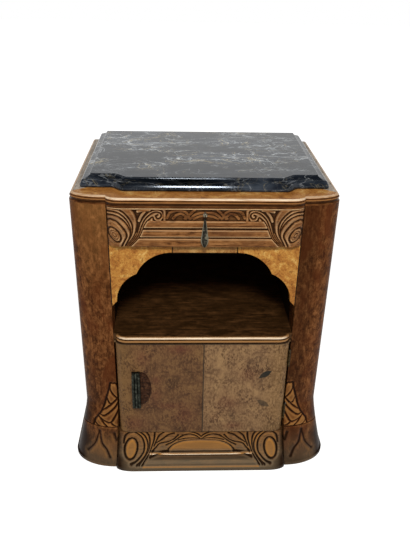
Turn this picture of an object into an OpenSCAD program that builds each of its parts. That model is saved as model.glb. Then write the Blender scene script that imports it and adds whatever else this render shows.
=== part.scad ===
// Bedside pot cupboard: a veneered cabinet with a loose moulded marble top, one
// carved drawer, an open niche under a stepped arch and a cupboard with one door.
// Millimetres. +X right, the front faces -Y, +Z up, origin at the middle of the
// footprint on the floor. Shapes are drawn with y = 0 at the front plane, that is
// the face of the drawer and of the door, and are then moved to their real place.

/* [Overall] */
// Width over the straight sides
body_w = 498; // [480:2:510]
// Width over the flared feet
foot_w = 560; // [540:2:580]
// Depth from the front plane to the back
body_d = 380; // [350:5:420]
// How far the plinth stands out in front of the front plane
foot_reach = 30; // [26:1:34]
// Height of the whole cabinet
total_h = 645; // [630:1:665]
// Thickness of the marble slab
marble_t = 20; // [18:1:22]

/* [Carcass] */
// Clear width between the two cheeks
inner_w = 360; // [350:2:366]
// Thickness of the side panels and the cheeks
board_t = 12; // [10:1:14]
// Thickness of the wooden top with its moulded edge
frame_t = 16; // [16:1:18]
// Thickness of the back panel
back_t = 6; // [4:1:8]
// Depth of the rounded corner pilasters behind the front plane
pilaster_d = 60; // [55:1:65]
// Depth behind the front plane at which their rounding meets the straight side
round_d = 45; // [38:1:52]
// How far the pilasters' inner edges stand behind the front plane
notch_d = 15; // [13:1:17]
// Height at which the feet begin to flare
flare_h = 150; // [140:5:170]
// Height of the corner foot blocks
foot_block_h = 95; // [90:1:100]
// Height of the carved plinth
plinth_h = 85; // [82:1:88]
// Height of the base band on the floor
band_h = 11; // [9:1:12]

/* [Niche] */
// Height of the shelf's underside
shelf_z = 320; // [310:1:330]
// Thickness of the shelf
shelf_t = 13; // [12:1:14]
// Half width of the straight strip at the top of the arch
strip_half_w = 62; // [56:1:66]
// Radius of the two upper arcs of the arch
upper_arc_r = 72; // [71:0.5:73]
// Radius of the two lower arcs of the arch
lower_arc_r = 66; // [65.5:0.5:66.5]
// Height of the lower tips of the arch
arch_tip_z = 400; // [396:1:406]

/* [Drawer] */
// Height of the drawer front
drawer_h = 75; // [74:1:76]
// Length of the drawer box behind its front
drawer_l = 325; // [280:5:325]
// Thickness of the drawer's sides and back
drawer_t = 10; // [8:1:12]
// Sideways place of the drop pull on the drawer
pull_x = -2; // [-4:1:4]

/* [Door] */
// Thickness of the door
door_t = 22; // [20:1:24]
// Thickness of the door's face veneers
veneer_t = 1.2; // [1:0.1:1.5]
// Gap between each side of the door and the carcass
door_gap = 4; // [4:0.5:5]
// Sideways place of the seam between the two veneers
seam_x = 2; // [-2:1:4]
// Length of each hinge
hinge_l = 40; // [34:2:44]
// Height of the middle of the upper hinge
upper_hinge_z = 277; // [260:1:285]
// Height of the middle of the lower hinge
lower_hinge_z = 138; // [130:1:150]

/* [Hidden] */

// Colours, as the photograph shows them
walnut = [0.36, 0.21, 0.12];
dark_walnut = [0.24, 0.15, 0.09];
carved_walnut = [0.45, 0.29, 0.16];
burl = [0.70, 0.50, 0.25];
door_burl = [0.45, 0.33, 0.22];
poplar = [0.72, 0.60, 0.42];
black_marble = [0.22, 0.24, 0.26];
bronze = [0.30, 0.29, 0.23];
steel = [0.60, 0.60, 0.58];
brass = [0.72, 0.58, 0.30];

// Places worked out from the sizes above; depths run back from the front plane
front_y = (foot_reach - body_d) / 2;
side_x = body_w / 2;
flare_x = (foot_w - body_w) / 2;
cheek_x = inner_w / 2;
core_x = cheek_x + board_t;
panel_x = side_x - board_t;
top_z = total_h - marble_t;
frame_z = top_z - frame_t;
drawer_top = frame_z - 1;
drawer_z = drawer_top - drawer_h;
dust_top = drawer_z - 1;
dust_t = 12;
apron_t = 12;
apron_front = 12;
back_front = body_d - back_t;
back_rebate = 4;
back_z = 16;
bottom_t = 12;
front_t = 20;
notch_step = 7;
fit = 0.05;

// The door and its hinges
door_half = cheek_x - door_gap;
door_z = plinth_h + 1.5;
door_top = shelf_z - 3;
round_w = 25;
hinge_x = cheek_x - door_gap / 2;
hinge_v = 8;
leaf_t = 1.6;
leaf_v = 11;
knuckle_r = 2.4;
hinge_pin_r = 1.2;
leaf_screw_v = 18;
leaf_screw_pitch = 24;

// The leaf-shaped recess in the door's right half
leaf_mark_x = 130;
leaf_mark_z = 241;
leaf_mark_l = 32;
leaf_mark_w = 10;
leaf_mark_turn = 36;
leaf_mark_depth = 2.2;

// The door pull
bar_left = -146;
bar_w = 18;
bar_z = 159;
bar_h = 91;
fan_rx = 22;
fan_z = 207;
fan_rz = 42;
pull_screw_z = [178, 232];

// The drop pull
ball_r = 4.2;
ball_v = -9;
ball_z = 599.5;
drop_pin_r = 0.8;
drop_w_max = 7.2;
drop_widest_z = 551;
drop_tip_z = 536;

// The ball catch in the door's top edge
catch_x = -150;
catch_v = 12;
catch_ball_r = 3.5;
catch_bore_r = 3.6;
catch_mouth_r = 3.32;
catch_barrel_r = 4.8;
catch_ball_z = door_top - 1.2;
strike_t = 1.2;
barrel_len = 16;

// ---- shared shapes ----

// Moves a shape from the front plane to its place in the cabinet
module from_front() {
    translate([0, front_y, 0]) children();
}

// A drawing in x and z, carried back from depth v0 to depth v1
module upright(v0, v1) {
    translate([0, v1, 0]) rotate([90, 0, 0]) linear_extrude(v1 - v0) children();
}

// A board between two corners given as [x, depth, z]
module board(a, b) {
    translate(a) cube(b - a);
}

// A cylinder along X or along the depth, between two places on that axis
module rod_x(x0, x1, v, z, r) {
    translate([x0, v, z]) rotate([0, 90, 0]) cylinder(h = x1 - x0, r = r, $fn = 32);
}
module rod_v(x, v0, v1, z, r, sides = 32) {
    translate([x, v0, z]) rotate([-90, 0, 0]) cylinder(h = v1 - v0, r = r, $fn = sides);
}

// The same shape on both sides, or on one side only
module on_left() {
    mirror([1, 0, 0]) children();
}
module both_sides() {
    children();
    mirror([1, 0, 0]) children();
}

// Quarter ellipse that leaves a flat face at a and turns square to it at b
function quarter(a, b, n) =
    [for (i = [0:n]) let (s = 90 * i / n)
        [a[0] + (b[0] - a[0]) * sin(s), a[1] + (b[1] - a[1]) * (1 - cos(s))]];

// The points of a list in reverse order, mirrored in x
function mirrored(p) = [for (i = [len(p) - 1:-1:0]) [-p[i][0], p[i][1]]];

// A solid skinned over rings of equal length, one ring at each height
module loft(rings, heights) {
    n = len(rings[0]);
    last = len(rings) - 1;
    points = [for (k = [0:last]) for (p = rings[k]) [p[0], p[1], heights[k]]];
    sides = [for (k = [0:last - 1]) for (i = [0:n - 1]) let (j = (i + 1) % n)
        for (t = [[k * n + i, (k + 1) * n + i, (k + 1) * n + j],
                  [k * n + i, (k + 1) * n + j, k * n + j]]) t];
    bottom = [for (i = [0:n - 1]) i];
    top = [for (i = [n - 1:-1:0]) last * n + i];
    polyhedron(points = points, faces = concat([bottom, top], sides), convexity = 6);
}

// Share of the foot's flare at height z, from 0 above the flare to 1 at the floor
function flare(z) = z >= flare_h ? 0 : z <= band_h - 2 ? 1 : pow(1 - z / flare_h, 1.2);
function foot_notch_x(z) = cheek_x + notch_step * flare(z);
function foot_notch_v(z) = notch_d - foot_reach * flare(z);

// Plan of the cabinet's front and sides at an offset outside the body: a flat
// centre whose ends round back into a notch, then an elliptical corner
function plan_half(out) = concat(
    quarter([cheek_x - round_w - 3, -out], [cheek_x, notch_d - out], 7),
    [for (i = [1:9]) quarter([cheek_x, notch_d - out], [side_x + out, round_d], 9)[i]]);
function plan(out) = let (h = plan_half(out))
    concat(h, [[side_x + out, body_d], [-side_x - out, body_d]], mirrored(h));

// ---- top ----

// Plan of the marble at an inset: flat centre, an ogee back to each corner
slab_half = 231;
slab_front = 39;
slab_step = 19;
function ogee(x0, x1, v0, rise, n) =
    [for (i = [0:n]) let (s = i / n) [x0 + (x1 - x0) * s, v0 + rise * (1 - cos(180 * s)) / 2]];
function slab_plan(in) = let (
    v0 = slab_front + in,
    v1 = slab_front + slab_step + in,
    side = 0.75 * in,
    x1 = slab_half - side,
    half = concat(ogee(150 - side / 2, 176 - side / 4, v0, slab_step, 9),
                  quarter([x1 - 5, v1], [x1, v1 + 5], 3)))
    concat(half, [[x1, body_d], [-x1, body_d]], mirrored(half));

// Edge of the marble as [inset, height above its underside]: a fat round lower
// nose, a wide shallow cove and a thin raised table; the inset is less at the sides
slab_edge = concat(
    [for (s = [-90:30:90]) [7 * (1 - cos(s)), 7 + 7 * sin(s)]],
    [[10.5, 14.4], [16.5, 15.3], [21, 16.6], [22.4, 18], [22.8, 19.3], [24, 20]]);

module marble_top() color(black_marble) from_front()
    loft([for (e = slab_edge) slab_plan(e[0])],
         [for (e = slab_edge) top_z + e[1] * marble_t / 20]);

// Plain board under the marble, let into the moulded frame
board_front = 70;
board_half = 205;
module top_board() color(poplar) from_front()
    board([-board_half, board_front, frame_z], [board_half, body_d, top_z]);

// Edge of the wooden frame as [outset, height above its underside]: a fillet, a
// cove, a bead set back from it and a roll to the flat top
frame_edge = concat(
    [[0, 0], [0, 1.6], [-2.2, 2.4], [-3.1, 4.4], [-2.9, 6.6],
     [-1.6, 7.8], [-1.1, 9.2], [-1.6, 10.6], [-2.9, 11.4]],
    [for (s = [0:22.5:90]) [-2.6 - 5.4 * (1 - cos(s)), 12 + 4 * sin(s)]]);

module top_frame() color(walnut) from_front() difference() {
    loft([for (e = frame_edge) plan(e[0])],
         [for (e = frame_edge) frame_z + e[1] * frame_t / 16]);
    board([-board_half, board_front, frame_z - 1], [board_half, body_d + 1, top_z + 1]);
}

// ---- sides ----

// Outer edge of the side below z1, from the floor up, as [x, z]
function side_edge(z0, z1, n) =
    [for (i = [0:n]) let (z = z0 + (z1 - z0) * i / n) [side_x + flare_x * flare(z), z]];

module side_panel() from_front() difference() {
    upright(pilaster_d, body_d) polygon(concat(
        [[panel_x, frame_z], [panel_x, foot_block_h]],
        side_edge(foot_block_h, flare_h, 5), [[side_x, frame_z]]));
    board([panel_x - 1, back_front, foot_block_h - 1],
          [panel_x + back_rebate, body_d + 1, frame_z + 1]);
}
module left_side_panel() color(walnut) on_left() side_panel();
module right_side_panel() color(walnut) side_panel();

module cheek() from_front()
    board([cheek_x, pilaster_d, 0], [core_x, back_front, frame_z]);
module left_cheek() color(dark_walnut) on_left() cheek();
module right_cheek() color(dark_walnut) cheek();

// Softwood rails that hold each cheek and side panel apart
rail_heights = [30, 200, shelf_z - 5, 450, frame_z - 24];
rail_h = 24;
module core_rails() from_front()
    for (z = rail_heights)
        board([core_x, pilaster_d, z], [panel_x, back_front, z + rail_h]);
module left_core_rails() color(poplar) on_left() core_rails();
module right_core_rails() color(poplar) core_rails();

// Plan of a corner at height z: a block with a rounded outer face
function corner_ring(z) = concat(
    [[cheek_x, pilaster_d], [cheek_x, notch_d + 1]],
    quarter([foot_notch_x(z), foot_notch_v(z)], [side_x + flare_x * flare(z), round_d], 12),
    [[side_x + flare_x * flare(z), pilaster_d]]);

function steps(z0, z1, n) = [for (i = [0:n]) z0 + (z1 - z0) * i / n];

module pilaster() from_front() union() {
    low = steps(foot_block_h, flare_h, 5);
    loft([for (z = low) corner_ring(z)], low);
    translate([0, 0, flare_h]) linear_extrude(frame_z - flare_h) polygon(corner_ring(flare_h));
}
module left_pilaster() color(walnut) on_left() pilaster();
module right_pilaster() color(walnut) pilaster();

module foot() from_front() {
    heights = concat([0, band_h - 2], steps(band_h, foot_block_h, 6));
    loft([for (z = heights) corner_ring(z)], heights);
}
module left_foot() color(walnut) on_left() foot();
module right_foot() color(walnut) foot();

// Flared plinth piece along each side
module side_base() from_front() difference() {
    upright(pilaster_d, body_d) polygon(concat(
        [[panel_x, foot_block_h], [panel_x, 0], [side_x + flare_x, 0], [side_x + flare_x, band_h - 2]],
        side_edge(band_h, foot_block_h, 6)));
    board([panel_x - 1, back_front, back_z],
          [panel_x + back_rebate, body_d + 1, foot_block_h + 1]);
}
module left_side_base() color(dark_walnut) on_left() side_base();
module right_side_base() color(dark_walnut) side_base();

// ---- base ----

// Front of the plinth as [depth, height]: band, cove, bead and carved face
plinth_edge = [
    [-foot_reach, 0], [-foot_reach, band_h - 2], [2 - foot_reach, band_h],
    [-24, 15], [-18.5, 20], [-15, 25], [-13.5, 27.5], [-14.5, 29], [-14.5, 31], [-13, 33],
    [-7, 34.5], [-5.5, 45], [-3.5, 65], [0, plinth_h]];

// Plan of the plinth at one height; its ends round back beside the feet
function plinth_half(v, z) = let (
    end_v = min(v + 14, notch_d - 3),
    slope = (foot_notch_x(z) - cheek_x) / (notch_d + 1 - foot_notch_v(z)),
    end_x = cheek_x - 0.5 + slope * (notch_d + 1 - max(end_v, foot_notch_v(z))))
    concat(quarter([cheek_x - round_w - 5, v], [end_x, end_v], 8),
           [[cheek_x - 0.5, notch_d + 1], [cheek_x - 0.5, front_t]]);
function plinth_ring(v, z) = concat(plinth_half(v, z), mirrored(plinth_half(v, z)));

module plinth_front() color(carved_walnut) from_front()
    loft([for (e = plinth_edge) plinth_ring(e[0], e[1])], [for (e = plinth_edge) e[1]]);

module plinth_back() color(poplar) from_front()
    board([-cheek_x, back_front - 20, 0], [cheek_x, back_front, plinth_h - bottom_t]);

// Square softwood blocks rubbed into the corners under the bottom board
block_s = 22;
module glue_blocks() color(poplar) from_front() both_sides() {
    for (v = [front_t, back_front - 20 - block_s])
        board([cheek_x - block_s, v, plinth_h - bottom_t - 40],
              [cheek_x, v + block_s, plinth_h - bottom_t]);
    board([60, front_t, plinth_h - bottom_t - block_s],
          [120, front_t + block_s, plinth_h - bottom_t]);
}

module bottom_board() color(dark_walnut) from_front()
    board([-cheek_x, front_t, plinth_h - bottom_t], [cheek_x, back_front, plinth_h]);

// ---- shelf, niche and apron ----

// Front edge of the shelf as [inset, height above its underside]: a fillet, a
// quirk and a round bead on top
shelf_edge = [[1.5, 0], [0.6, 0.8], [0.6, 5.2], [2.2, 6], [2.2, 7], [0.6, 7.8], [0, 9.2],
              [0, 10.6], [0.8, 12.2], [2.2, shelf_t]];
function shelf_half(in) = concat(
    quarter([cheek_x - round_w - 5, in], [cheek_x - 5 - in, notch_d + 1], 8),
    [[cheek_x, notch_d + 1], [cheek_x, back_front]]);
module shelf() color(dark_walnut) from_front()
    loft([for (e = shelf_edge) concat(shelf_half(e[0]), mirrored(shelf_half(e[0])))],
         [for (e = shelf_edge) shelf_z + e[1] * shelf_t / 13]);

module dust_board() color(poplar) from_front()
    board([-cheek_x, apron_front + apron_t, dust_top - dust_t], [cheek_x, back_front, dust_top]);

// The space under the arch, drawn on its right half in x and z
arch_top = 515;
upper_arc_x = strip_half_w;
upper_arc_z = arch_top - upper_arc_r;
lower_arc_x = 102.5;
lower_arc_z = 409.5;
module arch_space() {
    translate([upper_arc_x, upper_arc_z]) circle(r = upper_arc_r, $fn = 96);
    translate([lower_arc_x, lower_arc_z]) circle(r = lower_arc_r, $fn = 96);
    square([upper_arc_x, arch_top]);
    square([lower_arc_x, upper_arc_z]);
    square([lower_arc_x + lower_arc_r, lower_arc_z]);
}
module spandrel() from_front()
    upright(apron_front, apron_front + apron_t) difference() {
        translate([strip_half_w, arch_tip_z])
            square([cheek_x - strip_half_w, dust_top - arch_tip_z]);
        arch_space();
    }
module left_spandrel() color(burl) on_left() spandrel();
module right_spandrel() color(burl) spandrel();

module apron_strip() color(burl) from_front()
    board([-strip_half_w, apron_front, arch_top], [strip_half_w, apron_front + apron_t, dust_top]);

// ---- back ----

module back_panel() color(poplar) from_front()
    board([-panel_x - back_rebate, back_front, back_z], [panel_x + back_rebate, body_d, frame_z]);

// Screw heads that hold the back panel to the cheeks, the shelf and the boards
module back_screws() color(steel) from_front() {
    for (z = [60, 200, 430, 590])
        both_sides() rod_v(cheek_x + board_t / 2, body_d - 14, body_d - 0.4, z, 1.6);
    for (z = [shelf_z + shelf_t / 2, dust_top - dust_t / 2])
        both_sides() rod_v(90, body_d - 14, body_d - 0.4, z, 1.6);
}

// ---- drawer ----

drawer_side_x = cheek_x - 1.8;
box_z = drawer_z + 0.4;
side_h = 64;
kicker_w = 14;
box_end = front_t + drawer_l;

module drawer_kickers() color(poplar) from_front() both_sides()
    board([cheek_x - kicker_w, pilaster_d, box_z + side_h + 1], [cheek_x, back_front, frame_z]);

module drawer_stops() color(poplar) from_front() both_sides()
    board([120, box_end + 0.4, dust_top], [150, box_end + 14, dust_top + 14]);

// Drawer front: its ends round back like the rest of the front, and three flat
// bands run across it between grooves below the carved field
groove_z = [drawer_z + 51, drawer_z + 34.5, drawer_z + 17];
groove_h = [3, 3.4, 2.8];
groove_half = 132;
function front_half(half_w) = concat(
    quarter([cheek_x - round_w - 3, 0], [half_w, notch_d], 8), [[half_w, front_t]]);
module drawer_front() color(carved_walnut) from_front() difference() {
    translate([0, 0, drawer_z]) linear_extrude(drawer_h)
        polygon(concat(front_half(cheek_x - 0.8), mirrored(front_half(cheek_x - 0.8))));
    for (i = [0:2])
        board([-groove_half, -1, groove_z[i]], [groove_half, 1.5, groove_z[i] + groove_h[i]]);
    rod_v(pull_x, -1, front_t + 1, ball_z, 2 + fit);
}

// Drawer side with the groove that holds the bottom
bottom_ply = 5;
ply_z = box_z + 7;
ply_groove = 5;
module drawer_side() from_front() difference() {
    board([drawer_side_x - drawer_t, front_t, box_z], [drawer_side_x, box_end, box_z + side_h]);
    board([drawer_side_x - drawer_t - 1, front_t - 1, ply_z],
          [drawer_side_x - drawer_t + ply_groove, box_end + 1, ply_z + bottom_ply]);
}
module drawer_left_side() color(poplar) on_left() drawer_side();
module drawer_right_side() color(poplar) drawer_side();

module drawer_back() color(poplar) from_front()
    board([-(drawer_side_x - drawer_t), box_end - drawer_t, ply_z + bottom_ply],
          [drawer_side_x - drawer_t, box_end, box_z + side_h - 4]);

module drawer_bottom() color(poplar) from_front()
    board([-(drawer_side_x - drawer_t + ply_groove), front_t, ply_z],
          [drawer_side_x - drawer_t + ply_groove, box_end, ply_z + bottom_ply]);

// ---- drop pull ----

// Slotted ball on a shank that passes through the drawer front
module pull_post() color(bronze) from_front() difference() {
    union() {
        translate([pull_x, ball_v, ball_z]) sphere(r = ball_r, $fn = 48);
        rod_v(pull_x, ball_v + 2, 0, ball_z, 2.6);
        rod_v(pull_x, -0.5, front_t + 7, ball_z, 2);
    }
    board([pull_x - 1.25, ball_v - 6, ball_z - 6], [pull_x + 1.25, ball_v + 2.8, ball_z + 2.6]);
    rod_x(pull_x - 6, pull_x + 6, ball_v, ball_z, drop_pin_r);
}

module pull_nut() color(steel) from_front() difference() {
    union() {
        rod_v(pull_x, front_t, front_t + 1, ball_z, 6.5);
        rod_v(pull_x, front_t + 1, front_t + 4.5, ball_z, 4.6, 6);
    }
    rod_v(pull_x, front_t - 1, front_t + 6, ball_z, 2);
}

module pull_pin() color(bronze) from_front()
    rod_x(pull_x - 3.9, pull_x + 3.9, ball_v, ball_z, drop_pin_r);

// Spear-shaped drop: an eye, a thin neck, a collar and a faceted blade
blade_top_z = ball_z - 8.2;
function blade_ring(w, d) = [[pull_x, ball_v - d], [pull_x + w, ball_v],
                             [pull_x, ball_v + d], [pull_x - w, ball_v]];
module pull_drop() color(bronze) from_front() {
    difference() {
        union() {
            rod_x(pull_x - 0.95, pull_x + 0.95, ball_v, ball_z, 2.2);
            translate([pull_x, ball_v, blade_top_z]) cylinder(h = 7, r = 0.9, $fn = 24);
        }
        rod_x(pull_x - 2, pull_x + 2, ball_v, ball_z, drop_pin_r + fit);
    }
    translate([pull_x, ball_v, blade_top_z]) cylinder(h = 1.6, r = 3, $fn = 32);
    loft([blade_ring(2.4, 1.8), blade_ring(drop_w_max * 0.62, 2.6),
          blade_ring(drop_w_max, 3), blade_ring(0.5, 0.5)],
         [drop_tip_z, (drop_tip_z + drop_widest_z) / 2, drop_widest_z, blade_top_z + 0.2]);
}

// ---- door ----

// Half plan of the door's face at an inset; the ends round back to the edges
function door_face(in) =
    quarter([door_half - round_w, in], [door_half - in * 0.4, notch_d], 8);

// Leaf outline, the overlap of two circles, turned to its place on the door
leaf_mark_r = (pow(leaf_mark_l / 2, 2) + pow(leaf_mark_w / 2, 2)) / leaf_mark_w;
module leaf_mark() {
    shift = leaf_mark_r - leaf_mark_w / 2;
    translate([leaf_mark_x, leaf_mark_z]) rotate(leaf_mark_turn) intersection() {
        translate([0, shift]) circle(r = leaf_mark_r, $fn = 96);
        translate([0, -shift]) circle(r = leaf_mark_r, $fn = 96);
    }
}

module door_core() color(door_burl) from_front() difference() {
    translate([0, 0, door_z]) linear_extrude(door_top - door_z) polygon(concat(
        door_face(veneer_t), [[door_half, notch_d], [door_half, door_t]],
        [[-door_half, door_t], [-door_half, notch_d]], mirrored(door_face(veneer_t))));
    upright(0, leaf_mark_depth) leaf_mark();
    for (z = pull_screw_z)
        rod_v(bar_left + bar_w / 2, -1, door_t + 1, z, 2 + fit);
    translate([catch_x, catch_v, door_top - barrel_len])
        cylinder(h = barrel_len + 1, r = catch_barrel_r, $fn = 32);
}

// Face veneer of the right half, mirrored for the left
module door_veneer(seam) translate([0, 0, door_z]) linear_extrude(door_top - door_z)
    polygon(concat([[seam, 0]], door_face(0), mirrored([for (p = door_face(veneer_t)) [-p[0], p[1]]]),
                   [[seam, veneer_t]]));
module door_left_veneer() color(door_burl) from_front() difference() {
    on_left() door_veneer(-seam_x);
    for (z = pull_screw_z)
        rod_v(bar_left + bar_w / 2, -1, veneer_t + 1, z, 2 + fit);
}
module door_right_veneer() color(door_burl) from_front() difference() {
    door_veneer(seam_x);
    upright(-1, veneer_t + 1) leaf_mark();
}

// Cast pull: a fan-shaped plate on the door and an upright bar with three reeds
plate_t = 1.6;
reed_r = 3.6;
bar_reach = 9;
module door_pull_plate() color(bronze) from_front() difference() {
    upright(-plate_t, 0) union() {
        translate([bar_left, bar_z]) square([bar_w, bar_h]);
        intersection() {
            translate([bar_left + bar_w, fan_z]) scale([fan_rx / fan_rz, 1, 1])
                circle(r = fan_rz, $fn = 96);
            translate([bar_left + bar_w - 1, bar_z]) square([fan_rx + 2, bar_h]);
        }
    }
    for (z = pull_screw_z)
        rod_v(bar_left + bar_w / 2, -plate_t - 1, 1, z, 2 + fit);
}
module door_pull_bar() color(bronze) from_front() difference() {
    union() {
        board([bar_left + 1.4, -bar_reach + reed_r, bar_z + 1],
              [bar_left + bar_w - 1.4, -plate_t, bar_z + bar_h - 1]);
        for (i = [0:2])
            translate([bar_left + reed_r + i * (bar_w - 2 * reed_r) / 2, -bar_reach + reed_r, bar_z + 1])
                cylinder(h = bar_h - 2, r = reed_r, $fn = 32);
    }
    for (z = pull_screw_z)
        rod_v(bar_left + bar_w / 2, -bar_reach + 2, 0, z, 2);
}
module door_pull_screws() color(steel) from_front()
    for (z = pull_screw_z) {
        rod_v(bar_left + bar_w / 2, door_t, door_t + 2, z, 4);
        rod_v(bar_left + bar_w / 2, 2 - bar_reach, door_t + 0.5, z, 2);
    }

// ---- hinges ----

// One hinge has five knuckles; the frame leaf owns numbers 0, 2 and 4
knuckle_l = hinge_l / 5;
module hinge_leaf(mid_z, first, x0, screw_side) from_front() {
    z0 = mid_z - hinge_l / 2;
    difference() {
        union() {
            board([x0, leaf_v, z0], [x0 + leaf_t, door_t, z0 + hinge_l]);
            for (i = [first:2:4]) {
                translate([hinge_x, hinge_v, z0 + i * knuckle_l + 0.1])
                    cylinder(h = knuckle_l - 0.2, r = knuckle_r, $fn = 32);
                board([x0, hinge_v, z0 + i * knuckle_l + 0.1],
                      [x0 + leaf_t, leaf_v + 0.5, z0 + (i + 1) * knuckle_l - 0.1]);
            }
        }
        translate([hinge_x, hinge_v, z0 - 1])
            cylinder(h = hinge_l + 2, r = hinge_pin_r + fit, $fn = 32);
        for (s = [-0.5, 0.5])
            rod_x(x0 - 1, x0 + leaf_t + 1, leaf_screw_v, mid_z + s * leaf_screw_pitch, 1.3);
        for (s = [-0.5, 0.5])
            rod_x(screw_side - 0.8, screw_side + 0.8, leaf_screw_v,
                  mid_z + s * leaf_screw_pitch, 2.4);
    }
}
frame_leaf_x = cheek_x - leaf_t;
module hinge_pin(mid_z) from_front()
    translate([hinge_x, hinge_v, mid_z - hinge_l / 2 - 0.5])
        cylinder(h = hinge_l + 1, r = hinge_pin_r, $fn = 32);

module upper_hinge_frame_leaf() color(brass) hinge_leaf(upper_hinge_z, 0, frame_leaf_x, frame_leaf_x);
module upper_hinge_door_leaf() color(brass)
    hinge_leaf(upper_hinge_z, 1, door_half, door_half + leaf_t);
module upper_hinge_pin() color(steel) hinge_pin(upper_hinge_z);
module lower_hinge_frame_leaf() color(brass) hinge_leaf(lower_hinge_z, 0, frame_leaf_x, frame_leaf_x);
module lower_hinge_door_leaf() color(brass)
    hinge_leaf(lower_hinge_z, 1, door_half, door_half + leaf_t);
module lower_hinge_pin() color(steel) hinge_pin(lower_hinge_z);

// Wood screws, each a thin flat head and a shank
screw_places = [for (h = [upper_hinge_z, lower_hinge_z]) for (s = [-0.5, 0.5]) h + s * leaf_screw_pitch];
module hinge_frame_screws() color(steel) from_front()
    for (z = screw_places) {
        rod_x(frame_leaf_x, frame_leaf_x + 0.8, leaf_screw_v, z, 2.3);
        rod_x(frame_leaf_x + 0.4, frame_leaf_x + 13, leaf_screw_v, z, 1.2);
    }
module hinge_door_screws() color(steel) from_front()
    for (z = screw_places) {
        rod_x(door_half + leaf_t - 0.8, door_half + leaf_t, leaf_screw_v, z, 2.3);
        rod_x(door_half + leaf_t - 13, door_half + leaf_t - 0.4, leaf_screw_v, z, 1.2);
    }

// ---- door stop and ball catch ----

module door_stop() color(poplar) from_front()
    board([-cheek_x, door_t + 0.6, shelf_z - 12], [cheek_x, door_t + 13, shelf_z]);

// Brass barrel let into the door's top edge, closed at its foot and turned in at
// its mouth so that the ball can't fall out
module catch_barrel() color(brass) from_front() translate([catch_x, catch_v, door_top - barrel_len])
    rotate_extrude($fn = 48) polygon([
        [0, 0], [catch_barrel_r, 0], [catch_barrel_r, barrel_len], [catch_mouth_r, barrel_len],
        [catch_bore_r, barrel_len - 1.1], [catch_bore_r, 1.5], [0, 1.5]]);

module catch_ball() color(steel) from_front()
    translate([catch_x, catch_v, catch_ball_z]) sphere(r = catch_ball_r, $fn = 48);

// Coil spring under the ball, six turns of wire with flat sides
spring_r = 2.3;
wire_r = 0.35;
spring_turns = 6;
spring_steps = 10;
spring_z0 = door_top - barrel_len + 1.5 + wire_r + 0.05;
spring_z1 = catch_ball_z - 3.15;
module catch_spring() color(steel) from_front() translate([catch_x, catch_v, 0]) {
    rings = spring_turns * spring_steps;
    points = [for (k = [0:rings]) let (a = 360 * k / spring_steps,
                                       z = spring_z0 + (spring_z1 - spring_z0) * k / rings)
        for (s = [0:60:300]) let (r = spring_r + wire_r * cos(s))
            [r * cos(a), r * sin(a), z + wire_r * sin(s)]];
    sides = [for (k = [0:rings - 1]) for (i = [0:5]) let (j = (i + 1) % 6)
        for (t = [[k * 6 + i, k * 6 + j, (k + 1) * 6 + j], [k * 6 + i, (k + 1) * 6 + j, (k + 1) * 6 + i]]) t];
    polyhedron(points = points, convexity = 10,
               faces = concat([[5, 4, 3, 2, 1, 0]], [[for (i = [0:5]) rings * 6 + i]], sides));
}

module catch_strike() color(brass) from_front() difference() {
    board([catch_x - 14, catch_v - 6, shelf_z - strike_t], [catch_x + 14, catch_v + 6, shelf_z]);
    translate([catch_x, catch_v, shelf_z - strike_t - 1]) cylinder(h = strike_t + 2, r = 2.2, $fn = 32);
    for (s = [-10, 10])
        translate([catch_x + s, catch_v, shelf_z - strike_t - 1])
            cylinder(h = strike_t + 2, r = 1.3, $fn = 32);
}
module catch_screws() color(steel) from_front()
    for (s = [-10, 10])
        translate([catch_x + s, catch_v, shelf_z - strike_t]) cylinder(h = 9, r = 1.2, $fn = 32);

marble_top();
top_board();
top_frame();
left_side_panel();
right_side_panel();
left_cheek();
right_cheek();
left_core_rails();
right_core_rails();
left_pilaster();
right_pilaster();
left_foot();
right_foot();
left_side_base();
right_side_base();
plinth_front();
plinth_back();
glue_blocks();
bottom_board();
shelf();
dust_board();
left_spandrel();
apron_strip();
right_spandrel();
back_panel();
back_screws();
drawer_kickers();
drawer_stops();
door_stop();
drawer_front();
drawer_left_side();
drawer_right_side();
drawer_back();
drawer_bottom();
pull_post();
pull_nut();
pull_pin();
pull_drop();
door_core();
door_left_veneer();
door_right_veneer();
door_pull_plate();
door_pull_bar();
door_pull_screws();
upper_hinge_frame_leaf();
upper_hinge_door_leaf();
upper_hinge_pin();
lower_hinge_frame_leaf();
lower_hinge_door_leaf();
lower_hinge_pin();
hinge_frame_screws();
hinge_door_screws();
catch_barrel();
catch_ball();
catch_spring();
catch_strike();
catch_screws();
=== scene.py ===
import bpy
import numpy as np
from mathutils import Matrix


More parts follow.
